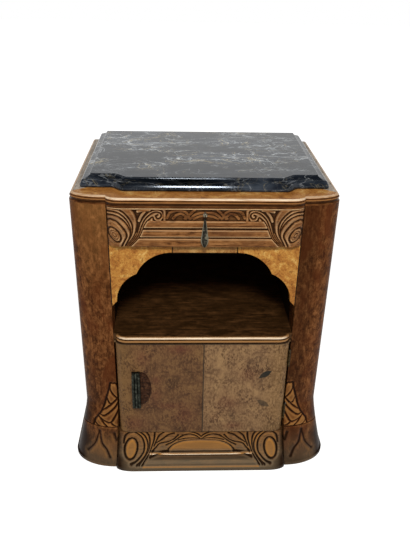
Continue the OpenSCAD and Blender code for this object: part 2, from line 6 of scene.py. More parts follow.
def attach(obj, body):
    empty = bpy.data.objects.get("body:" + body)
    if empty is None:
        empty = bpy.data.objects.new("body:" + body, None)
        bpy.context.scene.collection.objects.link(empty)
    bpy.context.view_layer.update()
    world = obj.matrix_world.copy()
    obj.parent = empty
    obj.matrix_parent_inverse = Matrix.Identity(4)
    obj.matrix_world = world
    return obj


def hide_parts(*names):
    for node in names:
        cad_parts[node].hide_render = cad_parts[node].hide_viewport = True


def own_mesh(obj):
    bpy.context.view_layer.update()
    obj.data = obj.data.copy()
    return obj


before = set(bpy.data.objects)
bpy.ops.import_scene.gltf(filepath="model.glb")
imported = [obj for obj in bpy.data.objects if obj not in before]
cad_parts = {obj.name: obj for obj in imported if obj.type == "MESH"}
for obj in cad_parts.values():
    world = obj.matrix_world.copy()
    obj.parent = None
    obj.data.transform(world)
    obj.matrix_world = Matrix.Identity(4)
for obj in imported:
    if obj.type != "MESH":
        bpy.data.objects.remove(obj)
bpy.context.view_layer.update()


# ---- Plain boards inside the cupboard ----
# The rails between the side panels and cheeks, the boards nobody sees, the guides and
# the drawer box are sawn poplar, glued and screwed, gone brown with age. The back panel
# is a thin poplar board, screwed on; where it closes the niche it is near black, painted shade.

def colour(code):
    """Linear colour of an sRGB hex code."""
    srgb = np.array([int(code[i:i + 2], 16) / 255 for i in (1, 3, 5)])
    linear = np.where(srgb <= 0.04045, srgb / 12.92, ((srgb + 0.055) / 1.055) ** 2.4)
    return (*(float(part) for part in linear), 1.0)


def add(tree, kind, feeds=None, stops=None, out=0, **settings):
    """Adds a shader node, sets its properties and ramp stops, sets or links its inputs
    by name or number, and returns one of its live outputs."""
    node = tree.nodes.new("ShaderNode" + kind)
    for name, value in settings.items():
        setattr(node, name, value)
    for spot, (at, code) in enumerate(stops or ()):
        marks = node.color_ramp.elements
        mark = marks[spot] if spot < len(marks) else marks.new(at)
        mark.position, mark.color = at, colour(code)
    live = [socket for socket in node.inputs if socket.enabled]
    for key, value in (feeds or {}).items():
        socket = live[key] if isinstance(key, int) else next(s for s in live if s.name == key)
        if isinstance(value, bpy.types.NodeSocket):
            tree.links.new(value, socket)
        else:
            socket.default_value = value
    sent = [socket for socket in node.outputs if socket.enabled]
    return sent[out] if sent else None


def start_finish(name, **surface):
    """A new material with one Principled surface; returns it, its tree, the surface
    node and Object coordinates in metres."""
    finish = bpy.data.materials.new(name)
    finish.use_nodes = True
    tree = finish.node_tree
    tree.nodes.clear()
    shade = tree.nodes.new("ShaderNodeBsdfPrincipled")
    for socket, value in surface.items():
        shade.inputs[socket.replace("_", " ")].default_value = value
    add(tree, "OutputMaterial", {"Surface": shade.outputs[0]})
    where = tree.nodes.new("ShaderNodeTexCoord").outputs["Object"]
    return finish, tree, shade, where


def tint(tree, tone, code, mask, none, full, most=1.0):
    """Lays a colour over a tone: its share runs from 0 where the mask is at none to most
    where it is at full."""
    share = add(tree, "MapRange", {"Value": mask, "From Min": none, "From Max": full, "To Max": most})
    return add(tree, "Mix", {0: share, "A": tone, "B": colour(code)}, data_type="RGBA")


def coat(tree, shade, tone, relief, strength, depth, **settings):
    """Gives a surface its colour and a fine relief of some depth in metres."""
    tree.links.new(tone, shade.inputs["Base Color"])
    bump = add(tree, "Bump", {"Height": relief, "Strength": strength, "Distance": depth}, **settings)
    tree.links.new(bump, shade.inputs["Normal"])


def dress(finish, *names):
    """Gives CAD nodes a material."""
    for name in names:
        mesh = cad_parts[name].data
        mesh.materials.clear()
        mesh.materials.append(finish)


def sawn_poplar(name, black_until=None):
    """Aged poplar board: soft pale-brown streaks about 5 mm apart along X, faint saw
    fuzz, no polish. In front of black_until, a place along Y, it is near black, painted shade."""
    finish, tree, shade, where = start_finish(name, Roughness=0.75, Specular_IOR_Level=0.1)
    along = add(tree, "Mapping", {"Vector": where, "Scale": (12.0, 190.0, 190.0)})
    streaks = add(tree, "TexNoise", {"Vector": along, "Scale": 1.0, "Detail": 5.0, "Distortion": 0.4})
    tone = add(tree, "ValToRGB", {"Fac": streaks}, stops=[
        (0.3, "#5F452B"), (0.5, "#7C5F3F"), (0.72, "#957651")])
    if black_until is not None:
        depth = add(tree, "SeparateXYZ", {"Vector": where}, out=1)
        tone = tint(tree, tone, "#2E2824", depth, black_until + 0.001, black_until)
    coat(tree, shade, tone, streaks, 0.3, 0.0004)
    return finish


dress(sawn_poplar("aged_sawn_poplar"), "top_board", "left_core_rails", "right_core_rails",
      "plinth_back", "glue_blocks", "dust_board", "drawer_kickers", "drawer_stops", "door_stop",
      "drawer_left_side", "drawer_right_side", "drawer_back", "drawer_bottom")
# the back panel's inside, facing the niche, is painted near black: painted shade
dress(sawn_poplar("poplar_back_black_inside", 0.2), "back_panel")


# ---- Inside faces and the bottom board ----
# The cheeks of the niche and of the cupboard and the bottom board take an almost
# black colour, painted shade, so that the open niche reads as a dark hole.

# The settings of a node that reads a piece's carving attribute
CARVING = {"out": 2, "attribute_name": "carving", "attribute_type": "GEOMETRY"}


def walnut(name, run, dark, mid, light, patch, gloss=0.4, shine=0.1, streaks=0.4, dirt=0.0,
           rubbed=None, grime="#3F3A2B"):
    """Old shellacked walnut whose grain runs along one axis. Streaks 3 mm wide and
    mottling 12 mm across share in its dark, mid and light tones; patch is the colour of
    clouds some 40 mm across, dirt how much grime it has at the floor. A carved piece
    reads its own attribute: below 0.5 painted shade with dirt darkens the cuts, above
    it ridges take a lighter tone, wear with a painted highlight, and from 1 to 1.5
    mouldings take a painted highlight in the pale colour of wood rubbed through."""
    finish, tree, shade, where = start_finish(name, Roughness=gloss, Specular_IOR_Level=shine,
                                              Specular_Tint=colour("#E3A672"))
    patterns = []
    for along, across, detail, rough, bend in (
            (18.0, 300.0, 6.0, 0.65, 0.8),     # streaks of the grain
            (55.0, 95.0, 8.0, 0.8, 0.4),       # mottling
            (12.0, 24.0, 4.0, 0.5, 1.2),       # clouds
            (120.0, 700.0, 2.0, 0.5, 0.0)):    # open pores, wider than real so that they show
        scale = tuple(along if axis == run else across for axis in "XYZ")
        drawn = add(tree, "Mapping", {"Vector": where, "Scale": scale})
        patterns.append(add(tree, "TexNoise", {"Vector": drawn, "Scale": 1.0, "Detail": detail,
                                               "Roughness": rough, "Distortion": bend}))
    grain, mottle, clouds, pores = patterns
    both = add(tree, "Mix", {0: streaks, "A": mottle, "B": grain}, data_type="FLOAT")
    tone = add(tree, "ValToRGB", {"Fac": both}, stops=[(0.41, dark), (0.5, mid), (0.6, light)])
    tone = tint(tree, tone, patch, clouds, 0.46, 0.66, 0.8)
    tone = tint(tree, tone, dark, pores, 0.56, 0.7, 0.4)
    if dirt:
        height = add(tree, "SeparateXYZ", {"Vector": where}, out=2)
        tone = tint(tree, tone, grime, height, 0.1, 0.0, dirt)
    if rubbed:
        cut = add(tree, "Attribute", **CARVING)
        # above 0.54 ridges take the rubbed colour: wear, with a painted highlight
        tone = tint(tree, tone, rubbed, cut, 0.54, 0.85, 0.9)
        # from 1 to 1.5 a painted highlight in a pale wood colour, broken up by the grain
        highlight_share = add(tree, "MapRange", {"Value": cut, "From Min": 1.0, "From Max": 1.5})
        hard = add(tree, "MapRange", {"Value": grain, "From Min": 0.38, "From Max": 0.55, "To Min": 0.4})
        highlight_share = add(tree, "Math", {0: highlight_share, 1: hard}, operation="MULTIPLY")
        tone = tint(tree, tone, "#F6E2C4", highlight_share, 0.0, 1.0, 0.95)
        # below 0.46 painted shade, with dirt, darkens the cuts
        tone = tint(tree, tone, "#170A04", cut, 0.46, 0.15, 0.96)
    coat(tree, shade, tone, both, 0.3, 0.0006)
    return finish


# near-black walnut for the niche's inside faces: painted shade
stained = walnut("walnut_black_painted_shade", "Y", "#0C0705", "#120B07", "#1C120C", "#0E0805", gloss=0.6)
dress(stained, "left_cheek", "right_cheek", "bottom_board")


# ---- Sides ----
# Veneered side panels and, under them, the flared base that runs back along each side.
# Reddish walnut veneer laid with its grain upright; the base is darker from floor dirt.

side_walnut = walnut("walnut_veneer_upright", "Z", "#2C1508", "#5C361B", "#7A5230", "#422311",
                     shine=0.07, dirt=0.8)
dress(side_walnut, "left_side_panel", "right_side_panel", "left_side_base", "right_side_base")


# ---- Corner pilasters and their feet ----
# A thick half-round moulding stands on each front corner and flares out to a foot at
# the floor. Its lower part is carved with overlapping leaves that fan from the door
# side, and the foot with one forked fold. A joint runs round between the two.

FRONT = 175.0      # the cabinet's front plane stands this far in front of the origin, mm
CHEEK = 180.0      # half the clear width between the cheeks
SIDE = 249.0       # half the width over the straight sides
DEPTH = 380.0      # from the front plane to the back
NOTCH = 15.0       # how far the ends of the bowed front lie back beside the pilasters
CORNER = 45.0      # how far back the rounded corners reach
JOINT = 95.0       # height of the joint between a foot and its pilaster
FRAME = 609.0      # height of the underside of the top's frame
FLARE, BAND = 150.0, 9.0   # the foot flares below the first height; the second ends the floor band
# How far the flare carries the notch and the side outwards, and the notch forwards
NOTCH_OUT, SIDE_OUT, NOTCH_ON = 7.0, 31.0, 30.0


def place(x, depth, z):
    """Points in metres from x, depth behind the front plane and height, all in mm."""
    return np.stack(np.broadcast_arrays(x, np.asarray(depth) - FRONT, z), -1) / 1000.0


def put(name, data):
    """A new object in the scene."""
    thing = bpy.data.objects.new(name, data)
    bpy.context.scene.collection.objects.link(thing)
    return thing


def make_piece(name, rows, body, slot, finish, *nodes, wrap=False, carving=None, sharp=40):
    """A closed mesh from a grid of points, rows[i, j]: a quad in every cell, round to
    the first column again if wrap. Each open border is filled with one flat polygon.
    Faces point outwards: a negative volume turns them round."""
    m, n = rows.shape[:2]
    index = np.arange(m * n).reshape(m, n)
    right = np.roll(index, -1, 1) if wrap else index[:, 1:]
    left = index if wrap else index[:, :-1]
    quads = np.stack([left[:-1], right[:-1], right[1:], left[1:]], -1).reshape(-1, 4).tolist()
    if wrap:
        quads += [index[0, ::-1].tolist(), index[-1].tolist()]
    else:
        border = np.concatenate([index[0, :-1], index[:-1, -1], index[-1, :0:-1], index[:0:-1, 0]])
        quads.append(border[::-1].tolist())
    mesh = bpy.data.meshes.new(name)
    mesh.from_pydata(rows.reshape(-1, 3), [], quads)
    mesh.update()
    corners = np.empty(len(mesh.loop_triangles) * 3, np.int32)
    mesh.loop_triangles.foreach_get("vertices", corners)
    a, b, c = (rows.reshape(-1, 3)[corners.reshape(-1, 3)[:, k]] for k in range(3))
    if np.einsum("ij,ij->i", a, np.cross(b, c)).sum() < 0:
        mesh.flip_normals()
    mesh.set_sharp_from_angle(angle=np.radians(sharp))
    filled = 2 if wrap else 1
    mesh.polygons.foreach_set("use_smooth", [True] * (len(quads) - filled) + [False] * filled)
    if carving is not None:
        mesh.attributes.new("carving", "FLOAT", "POINT").data.foreach_set(
            "value", carving.ravel().astype(np.float32))
    mesh.materials.append(finish)
    piece = put(name, mesh)
    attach(piece, body)
    if nodes:
        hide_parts(*nodes)
    return piece


def through(*points, steps=10):
    """A smooth curve through the points: a Catmull-Rom cubic between each two."""
    p = np.array(points, float)
    p = np.vstack([2 * p[0] - p[1], p, 2 * p[-1] - p[-2]])
    t = np.linspace(0, 1, steps, endpoint=False)[:, None]
    a, b, c, d = p[:-3, None], p[1:-2, None], p[2:-1, None], p[3:, None]
    curve = (2 * b + (c - a) * t + (2 * a - 5 * b + 4 * c - d) * t ** 2
             + (3 * b - a - 3 * c + d) * t ** 3) / 2
    return np.vstack([curve.reshape(-1, 2), p[-2]])


def gap_to(x, z, curve, reach):
    """Distance in mm from each point of the grid to the nearest segment of the curve,
    worked out only within reach of the curve's box and infinite elsewhere."""
    low, high = curve.min(0) - reach, curve.max(0) + reach
    near = (x > low[0]) & (x < high[0]) & (z > low[1]) & (z < high[1])
    spot = np.stack([x[near], z[near]], -1)[:, None]
    start, run = curve[:-1], np.diff(curve, axis=0)
    share = np.clip(((spot - start) * run).sum(-1) / (run ** 2).sum(-1), 0, 1)
    gap = np.full(x.shape, np.inf)
    gap[near] = np.sqrt(((spot - start - share[..., None] * run) ** 2).sum(-1).min(1))
    return gap


def cut_lines(x, z, curves, depth, width):
    """Carved height below the face: a V along every curve with swelling flanks, depth
    deep on the line and running out to nothing at width on either side."""
    height = np.zeros(x.shape)
    for curve in curves:
        share = np.clip(1 - gap_to(x, z, curve, width) / width, 0, 1)
        height = np.minimum(height, -depth * share ** 2)
    return height


def x_on(line, z):
    """Where a line that was drawn downwards stands at a height."""
    return np.interp(z, line[::-1, 1], line[::-1, 0])


def soften(field, passes):
    """Rounds a field off: each pass averages a point with its four neighbours."""
    for _ in range(passes):
        f = np.pad(field, 1, mode="edge")
        field = (4 * f[1:-1, 1:-1] + f[:-2, 1:-1] + f[2:, 1:-1] + f[1:-1, :-2] + f[1:-1, 2:]) / 8
    return field


def shade_and_wear(height, passes=36):
    """The carving attribute: 0.5 on a plain face, less in cuts and on sunk ground, more
    on ridges. It is how far a point lies over the mean height around it, 1 for 2.4 mm,
    with a little of its own height. Low values give painted shade with dirt in the cuts,
    high ones wear with a painted highlight on ridges."""
    return np.minimum(0.5 + (height - soften(height, passes)) / 2.4 + 0.09 * height, 0.95)


def flare(z):
    """Share of the foot's flare: 0 where it starts, growing downwards as a power of the
    height, 1 at the band on the floor."""
    return np.where(z <= BAND, 1.0, np.clip(1 - z / FLARE, 0, 1) ** 1.2)


def corner_rings(z, turn):
    """The corner's outer face: at each height a quarter ellipse from the notch beside
    the door round to the side, as turn runs from 0 to 1. Returns x, depth and the
    outward direction in plan."""
    out, s = flare(z)[:, None], turn[None] * np.pi / 2
    notch_x, notch_v = CHEEK + NOTCH_OUT * out, NOTCH - NOTCH_ON * out
    width, deep = SIDE + SIDE_OUT * out - notch_x, CORNER - notch_v
    nx, nv = deep * np.sin(s), -width * np.cos(s)
    size = np.hypot(nx, nv)
    return notch_x + width * np.sin(s), notch_v + deep * (1 - np.cos(s)), nx / size, nv / size


leaf_lines = [through(*line) for line in (
    [(177, 199), (182.5, 207.6), (187.4, 207), (192.5, 208), (194.7, 194), (190, 180.6), (179, 166)],
    [(202.9, 170), (199.8, 159.2), (195.1, 152.8), (187.5, 157.5), (176, 173)],
    [(215, 133.2), (203.1, 142), (190.1, 154), (177, 169.5)],
    [(215, 133.7), (209.5, 146.5), (205.5, 158.3), (202.9, 170)],
    [(221, 124.5), (211.8, 121.2), (201.2, 127.5), (185.6, 143.9), (177, 160)],
    [(224.3, 119.3), (217.9, 113.8), (209.7, 108.2), (197, 105.6), (187.5, 119), (178, 137)],
    [(229.5, 112.5), (231.3, 104.5), (227.1, 97.5), (218.7, 93)],
    [(222.4, 119), (212.6, 104.2), (204.6, 94.5)],
    [(196.5, 106), (191.5, 100.5), (186, 97), (177, 95.5)])]
leaf_edge = through((193, 208), (197, 190), (203, 170), (209.5, 147), (216, 131), (224, 119),
                    (231, 109), (234, 97))
fold_lines = [through(*line) for line in (
    [(221.9, 84), (226.8, 68.5), (232.5, 52.7), (239.8, 41.7), (250, 29)],
    [(221.9, 84), (219.6, 65), (216.3, 52), (207.3, 40), (200.4, 22)],
    [(189.2, 80), (187.6, 73.6), (185, 63)])]

carved_corner = walnut("carved_walnut_corner", "Z", "#2D1508", "#5C361B", "#865732", "#522811",
                       shine=0.07, streaks=0.25, dirt=0.8, rubbed="#936637", grime="#524838")
around = np.linspace(0, 1, 120)
for side, sign in (("left", -1), ("right", 1)):
    for part, heights in (
            ("foot", np.concatenate([[0.0, 1.2, 2.5, 5, 7.5, 8.9], np.linspace(9.4, JOINT, 120)])),
            ("pilaster", np.concatenate([np.linspace(JOINT, 220, 150), np.linspace(228, FRAME, 30)]))):
        x, v, nx, nv = corner_rings(heights, around)
        z = np.broadcast_to(heights[:, None], x.shape)
        if part == "foot":
            cuts = soften(cut_lines(x, z, fold_lines, 2.8, 7.0), 6)
            # the middle is rubbed to golden brown, the outer lobe black with dirt
            beyond = x - x_on(fold_lines[0], z)
            rubbed = 0.08 - 0.25 * np.clip(beyond / 14, 0, 1)
            rubbed = rubbed * np.clip((84 - z) / 20, 0, 1) - 0.1 * np.clip(1 - z / 30, 0, 1)
        else:
            cuts = np.minimum(cut_lines(x, z, leaf_lines, 3.4, 4.8),
                              cut_lines(x, z, [leaf_edge], 3.2, 5.2))
            # the leaves are rubbed light; painted light makes the left shaft grow lighter upwards,
            # and the right one stays dark
            beyond = x - x_on(leaf_edge, z)
            rubbed = (0.22 if sign < 0 else 0.4) * np.clip(-beyond / 2, 0, 1) * (z < 206)
            rubbed = rubbed + 0.16 * np.clip((z - 350) / 260, -1, 1 if sign < 0 else -0.3)
        # the joint between foot and pilaster, and the rounded arris at the floor
        cuts = np.minimum(cuts, -1.5 * np.clip(1 - np.abs(z - JOINT) / 2, 0, 1))
        cuts = soften(cuts, 1) - 1.2 * np.clip(1 - z / 2.5, 0, 1) ** 2
        shape = shade_and_wear(cuts) + rubbed
        # dirt on the outer side, worst over the foot, and painted shade along the outer edge
        # above it; the right corner is dark beside the door and red farther out
        shape = shape - np.clip((around - 0.45) / 0.3, 0, 1) * np.interp(z, [60, 170], [0.3, 0.06])
        if sign > 0:
            shape = shape + np.interp(around, [0, 0.25, 0.5, 0.6], [-0.16, -0.12, 0.1, 0.12])
            shape = shape - 0.04 * np.clip((100 - z) / 10, 0, 1)
        x, v = x + nx * cuts, v + nv * cuts
        # the flat faces against the cheek and the side panel close each ring
        tall = np.ones((len(heights), 1))
        x = np.hstack([CHEEK * tall, CHEEK * tall, x, x[:, -1:]])
        v = np.hstack([60 * tall, (NOTCH + 1) * tall, v, 60 * tall])
        shape = np.pad(shape, ((0, 0), (2, 1)), mode="edge")
        z = np.broadcast_to(heights[:, None], x.shape)
        make_piece(f"carved_{side}_{part}", place(sign * x, v, z), "carcass", "walnut_veneer",
                   carved_corner, f"{side}_{part}", wrap=True, carving=np.clip(shape, 0, 1))


# ---- Carved plinth ----
# The solid walnut plinth between the feet bows out over a bead and a cove to a band on
# the floor. Each end carries an oval boss in crescent rings; leaves and lens-shaped
# arches run from there to a V in the middle, over a long flat lunette.

def ellipse(x0, z0, long_r, short_r, lean, steps=48):
    """A closed ellipse whose long axis leans by lean degrees from upright to +x."""
    t, a = np.linspace(0, 2 * np.pi, steps), np.radians(lean)
    u, w = short_r * np.cos(t), long_r * np.sin(t)
    return np.stack([x0 + u * np.cos(a) + w * np.sin(a), z0 - u * np.sin(a) + w * np.cos(a)], -1)


PLINTH = 85.0      # height of its top, just under the door
BEND = 147.0       # half the length of its straight middle
TURN = 32.5        # how far along the front each end takes to round back
BOSS = (-152.5, 48.0, 23.0, 13.0, 9.0)   # middle x and z, long and short radius, lean
base_profile = [(0, -29), (1.5, -30), (9.5, -30), (11.2, -29.3), (12.4, -27.2)]
plinth_profile = np.array(base_profile + [
    (14, -25.8), (18, -22.6), (23, -19), (28, -16), (30, -14), (31.2, -11.6), (32, -11.8),
    (33, -13.8), (34.5, -14.8), (36.2, -14), (37.4, -11.2), (38.2, -7.6), (40, -6.8), (47, -5.6),
    (65, -3.5), (PLINTH, 0)])
boss_profile = np.array(base_profile + [
    (15, -25.4), (20, -22), (28, -17.5), (36, -13), (45, -9), (65, -4.2), (PLINTH, 0)])
stalk = through((-101.1, 86), (-102.2, 69.6), (-106, 54.5), (-112.7, 37.1), (-121.6, 24), (-129, 14))
lunette = through((-72.5, 40.5), (-68.8, 45.2), (-59.7, 54), (-41.5, 62.2), (-19.7, 64.6), (2, 65.2))
plinth_lines = [through(*line) for line in (
    [(-167.6, 58), (-166.5, 70), (-163, 78.5), (-155, 84.5), (-142.5, 84), (-130.1, 74),
     (-124.6, 59.1), (-125.3, 41.5), (-130.6, 32), (-141.6, 21.3), (-152, 16.4)],
    [(-133.4, 86), (-122.8, 76), (-116.8, 61.2), (-116.5, 45.7), (-122.4, 32), (-132.5, 19.8),
     (-140, 14.5)],
    [(-119.1, 86), (-113.8, 75.9), (-112.2, 61.2), (-114.4, 43.5), (-119.7, 33.1), (-128.9, 21.2),
     (-136, 14.5)],
    [(-81.3, 85), (-92.2, 75.7), (-98.7, 61), (-103.5, 49)],
    [(-59.6, 82.5), (-72.3, 77.5), (-85, 67.4), (-97.9, 58)],
    [(-50.6, 77.3), (-59.7, 67.1), (-72.4, 60.8), (-90.6, 56.5), (-99.8, 45.6), (-108.5, 36)],
    [(-76, 53), (-65.1, 58.5), (-56, 65), (-39.7, 77.2)],
    [(-52, 68), (-39.7, 76.2), (-25.3, 79.1), (-12.5, 75.9), (0, 66)],
    [(-50, 65.5), (-32.4, 68.6), (-12.5, 69), (0, 66)],
    [(-24, 86), (-9, 80.5), (0, 73)],
    [(-112, 28), (-95, 34.5), (-82, 37), (-72.5, 38)])]
plinth_lines += [stalk, lunette]


def on_lunette(x, z):
    """True on the flat field under the arch, 41 mm up."""
    return (z > 41) & (x > -72.5) & (z < np.interp(x, lunette[:, 0], lunette[:, 1]))


def plinth_cuts(x, z):
    """The carving of the plinth's left half, below its face: V cuts along the lines, the
    boss a low dome in its own hollow, and the lunette's field flat and a little sunk.
    The right half is its mirror image, so x is minus its size there."""
    cuts = np.minimum(cut_lines(x, z, plinth_lines, 3.8, 5.4),
                      cut_lines(x, z, [ellipse(*BOSS)], 4.4, 5.8))
    x0, z0, long_r, short_r, lean = BOSS
    a = np.radians(lean)
    u = ((x - x0) * np.cos(a) - (z - z0) * np.sin(a)) / short_r
    w = ((x - x0) * np.sin(a) + (z - z0) * np.cos(a)) / long_r
    dome = np.sqrt(np.clip(1 - u ** 2 - w ** 2, 0, 1))
    return cuts + 2.2 * dome - 0.9 * on_lunette(x, z)


def bowed(count, straight, end, share):
    """Columns of a bowed front: x, and the angle that its rounded ends have turned by.
    Even steps cover the straight middle in a share of the columns, and a quarter
    ellipse each end."""
    u = np.linspace(-1, 1, count)
    bend = np.clip((np.abs(u) - share) / (1 - share), 0, 1) * np.pi / 2
    return np.where(bend > 0, np.sign(u) * (straight + end * np.sin(bend)), u / share * straight), bend


def plinth_rows():
    """Rows follow the plinth's profile from the floor to the door, columns its plan:
    straight in the middle, a quarter ellipse back beside each foot."""
    span = np.concatenate([[0, 0.8, 2, 4.5, 7.5], np.linspace(8.5, PLINTH, 150)])
    x, z = np.meshgrid(bowed(560, BEND, TURN, 0.8)[0], span)
    on_boss = np.clip((np.abs(x) + x_on(stalk, z)) / 5 + 0.5, 0, 1)
    v = (1 - on_boss) * np.interp(z, *plinth_profile.T) + on_boss * np.interp(z, *boss_profile.T)
    cuts = soften(plinth_cuts(-np.abs(x), z), 1) * np.clip((z - 10) / 3, 0, 1)
    # painted shade, with dirt, in the cove and the quirk over the bead, a painted highlight along the
    # bead's crown, and the base's arris rubbed
    shape = shade_and_wear(cuts) + (1 - on_boss) * np.interp(
        z, [4, 9, 11.2, 12.6, 14, 15.5, 18.5, 21, 24, 26.5, 31.8, 33.2, 35.5, 36.6, 38, 39.5, 41],
        [-0.2, -0.15, 0.25, 0.15, -0.2, -0.15, 0, 0, -0.2, -0.25, -0.3, 0.4, 1.15, 0.4, -0.4, -0.15, 0])
    shape = shape - on_boss * np.interp(z, [0, 24, 34], [0.2, 0.14, 0])
    # ends round back beside the feet, whose notches they follow
    out = flare(z)
    end_v = np.minimum(v + 14, 12)
    slope = NOTCH_OUT * out / (1 + NOTCH_ON * out)
    end_x = CHEEK - 0.5 + slope * (NOTCH + 1 - np.maximum(end_v, NOTCH - NOTCH_ON * out))
    turn = np.clip((np.abs(x) - BEND) / TURN, 0, 1)
    x = np.where(turn > 0, np.sign(x) * (BEND + (end_x - BEND) * turn), x)
    v = v + (end_v - v) * (1 - np.sqrt(1 - turn ** 2))
    # painted shade there, where they turn into the notch
    shape = shape - 0.3 * turn ** 2 + 0.3 * on_lunette(-np.abs(x), z)
    return x, v - cuts, z, shape


def backed(x, v, z, shape, back):
    """Carries a face's border straight back to a flat back at one depth. Returns the
    points and the face's shape, which becomes the carving attribute."""
    x, z, shape = (np.pad(np.broadcast_to(f, x.shape), 1, mode="edge") for f in (x, z, shape))
    v = np.pad(v, 1, constant_values=back)
    return place(x, v, z), np.clip(shape, 0, 1.5)


carved_plinth = walnut("carved_walnut_plinth", "X", "#341D0D", "#7A5029", "#986A3B", "#5A3A22",
                       gloss=0.34, streaks=0.6, dirt=0.9, rubbed="#A47034", grime="#6B604D")
points, shape = backed(*plinth_rows(), 20.0)
make_piece("carved_plinth", points, "carcass", "carved_walnut", carved_plinth,
           "plinth_front", carving=shape)


# ---- Shelf ----
# A walnut board between the cheeks, dark and straight-grained, with a round bead over
# a quirk and a fillet along its bowed front edge, which is rubbed light and carries a painted highlight.

def swept(profile, bottom, plan):
    """A profile carried round a plan: row i is the plan drawn at the profile's offset i
    and laid at its height over the bottom. Returns points as x, depth and height."""
    return np.stack([np.pad(plan(d), ((0, 0), (0, 1)), constant_values=bottom + h)
                     for d, h in profile])


def laid(points):
    """The same points in metres, in the scene's axes."""
    return place(*np.moveaxis(points, -1, 0))


def quarter(a, b, steps):
    """A quarter ellipse that leaves a flat at a and turns square to it at b."""
    s = np.linspace(0, np.pi / 2, steps)
    return np.stack([a[0] + (b[0] - a[0]) * np.sin(s), a[1] + (b[1] - a[1]) * (1 - np.cos(s))], -1)


def both_halves(half):
    """A plan's right half and its mirror image, as one ring."""
    return np.vstack([half, half[::-1] * (-1, 1)])


def shelf_plan(inset):
    """The shelf seen from above, its front edge moved back by inset."""
    back = NOTCH + 1
    return both_halves(np.vstack([
        quarter((CHEEK - 30, inset), (CHEEK - 5 - inset, back), 24), [(CHEEK, back), (CHEEK, 374)]]))


SHELF = 320.0      # height of its underside
bead = np.radians(np.linspace(-70, 100, 14))
shelf_profile = [(1.8, 0), (0.7, 0.6), (0.5, 1.4), (0.5, 4.8), (1.0, 5.4), (2.6, 5.9), (2.9, 6.5),
                 (2.4, 7.1)]
shelf_profile += [(2.9 - 2.9 * np.cos(a), 10 + 2.9 * np.sin(a)) for a in bead] + [(4.2, 13), (8, 13)]
rings = swept(shelf_profile, SHELF, shelf_plan)
# a painted highlight along the fillet and the bead, which are rubbed light too, painted shade in the
# quirk, dark on top
shape = np.interp(rings[..., 2] - SHELF, [0, 1.4, 4.8, 6.5, 7.8, 9.2, 12.2, 13],
                  [0.3, 0.9, 0.8, 0.1, 0.8, 1.5, 1.5, 0.6])
shape = np.minimum(shape, np.interp(rings[..., 1], [1, 8, 17], [1.5, 0.9, 0.5]))
shape[-1] = 0.5
shelf_walnut = walnut("walnut_shelf", "X", "#1A0E05", "#3A2512", "#5A3B20", "#281809",
                      gloss=0.34, shine=0.3, streaks=0.55, rubbed="#9A6F42")
make_piece("moulded_shelf", laid(rings), "carcass", "stained_walnut", shelf_walnut, "shelf",
           wrap=True, carving=shape)


# ---- Stepped arch ----
# Three boards face the top of the niche: a straight strip between two brackets, each
# sawn to two arcs that meet in a cusp. All are veneered with golden burl, the strip with a
# darker copy of it as painted shade, and show a thin bright arris along the sawn edge, and a
# gap beside the pilasters, darkened with painted shade.

def golden_burl(name, dark, mid, bright, light):
    """Burl veneer under old shellac: honey and brown eddies 10 to 40 mm across with
    fine curls inside them and small dark eyes. Painted shade darkens it where the carving
    attribute is below 0.3."""
    finish, tree, shade, where = start_finish(name, Roughness=0.36, Specular_IOR_Level=0.12)
    eddy = add(tree, "TexNoise", {"Vector": where, "Scale": 26.0, "Detail": 3.0, "Distortion": 2.0})
    curl = add(tree, "TexNoise", {"Vector": where, "Scale": 120.0, "Detail": 6.0, "Roughness": 0.75,
                                  "Distortion": 2.5})
    both = add(tree, "Mix", {0: 0.5, "A": eddy, "B": curl}, data_type="FLOAT")
    tone = add(tree, "ValToRGB", {"Fac": both}, stops=[
        (0.34, dark), (0.45, mid), (0.54, bright), (0.66, light)])
    eyes = add(tree, "TexNoise", {"Vector": where, "Scale": 260.0, "Detail": 3.0})
    tone = tint(tree, tone, "#6A3D14", eyes, 0.56, 0.7, 0.7)
    tone = tint(tree, tone, "#1E0F06", add(tree, "Attribute", **CARVING), 0.3, 0.0)
    coat(tree, shade, tone, curl, 0.15, 0.0004)
    return finish


burl = golden_burl("golden_burl_bracket", "#733F10", "#A0672B", "#B7823B", "#D8B269")
# a darker copy of the burl for the strip: painted shade
shaded_strip_burl = golden_burl("burl_strip_painted_shade", "#66401B", "#8D6032", "#A3773E", "#BD9860")
STRIP = 62.0       # half width of the middle strip
TIP = 400.0        # height of the brackets' pointed tips
CROWN = 515.0      # height of the arch's straight middle
LEDGE = 532.0      # height of the brackets' upper edge, under the drawer
FACE = 12.0        # how far the arch lies behind the front plane
ARCS = ((STRIP, 443.0, CROWN - 443.0), (102.5, 409.5, 66.0))   # middle x and z, and radius
CUSP = (128.7, 470.1)   # where the two arcs meet


def arch_reach(angle):
    """Distance to the arch's sawn edge, in a direction from the point where the strip's
    end stands over the tips: the furthest way out of two discs and, below them, an
    upright line that opens to the bracket's tip."""
    dx, dz = np.cos(angle), np.sin(angle)
    far = [np.where(angle < 0.09, 115 - 90 * angle, 0)]
    for x0, z0, r in ARCS:
        b, c = (STRIP - x0) * dx + (TIP - z0) * dz, (STRIP - x0) ** 2 + (TIP - z0) ** 2 - r * r
        far.append(-b + np.sqrt(b * b - c))
    return np.max(far, 0)


# The rounded arris of a sawn edge: steps away from the edge and back from the face
arris = [(0, 1.4), (0.15, 0.8), (0.5, 0.2), (1.1, 0)]


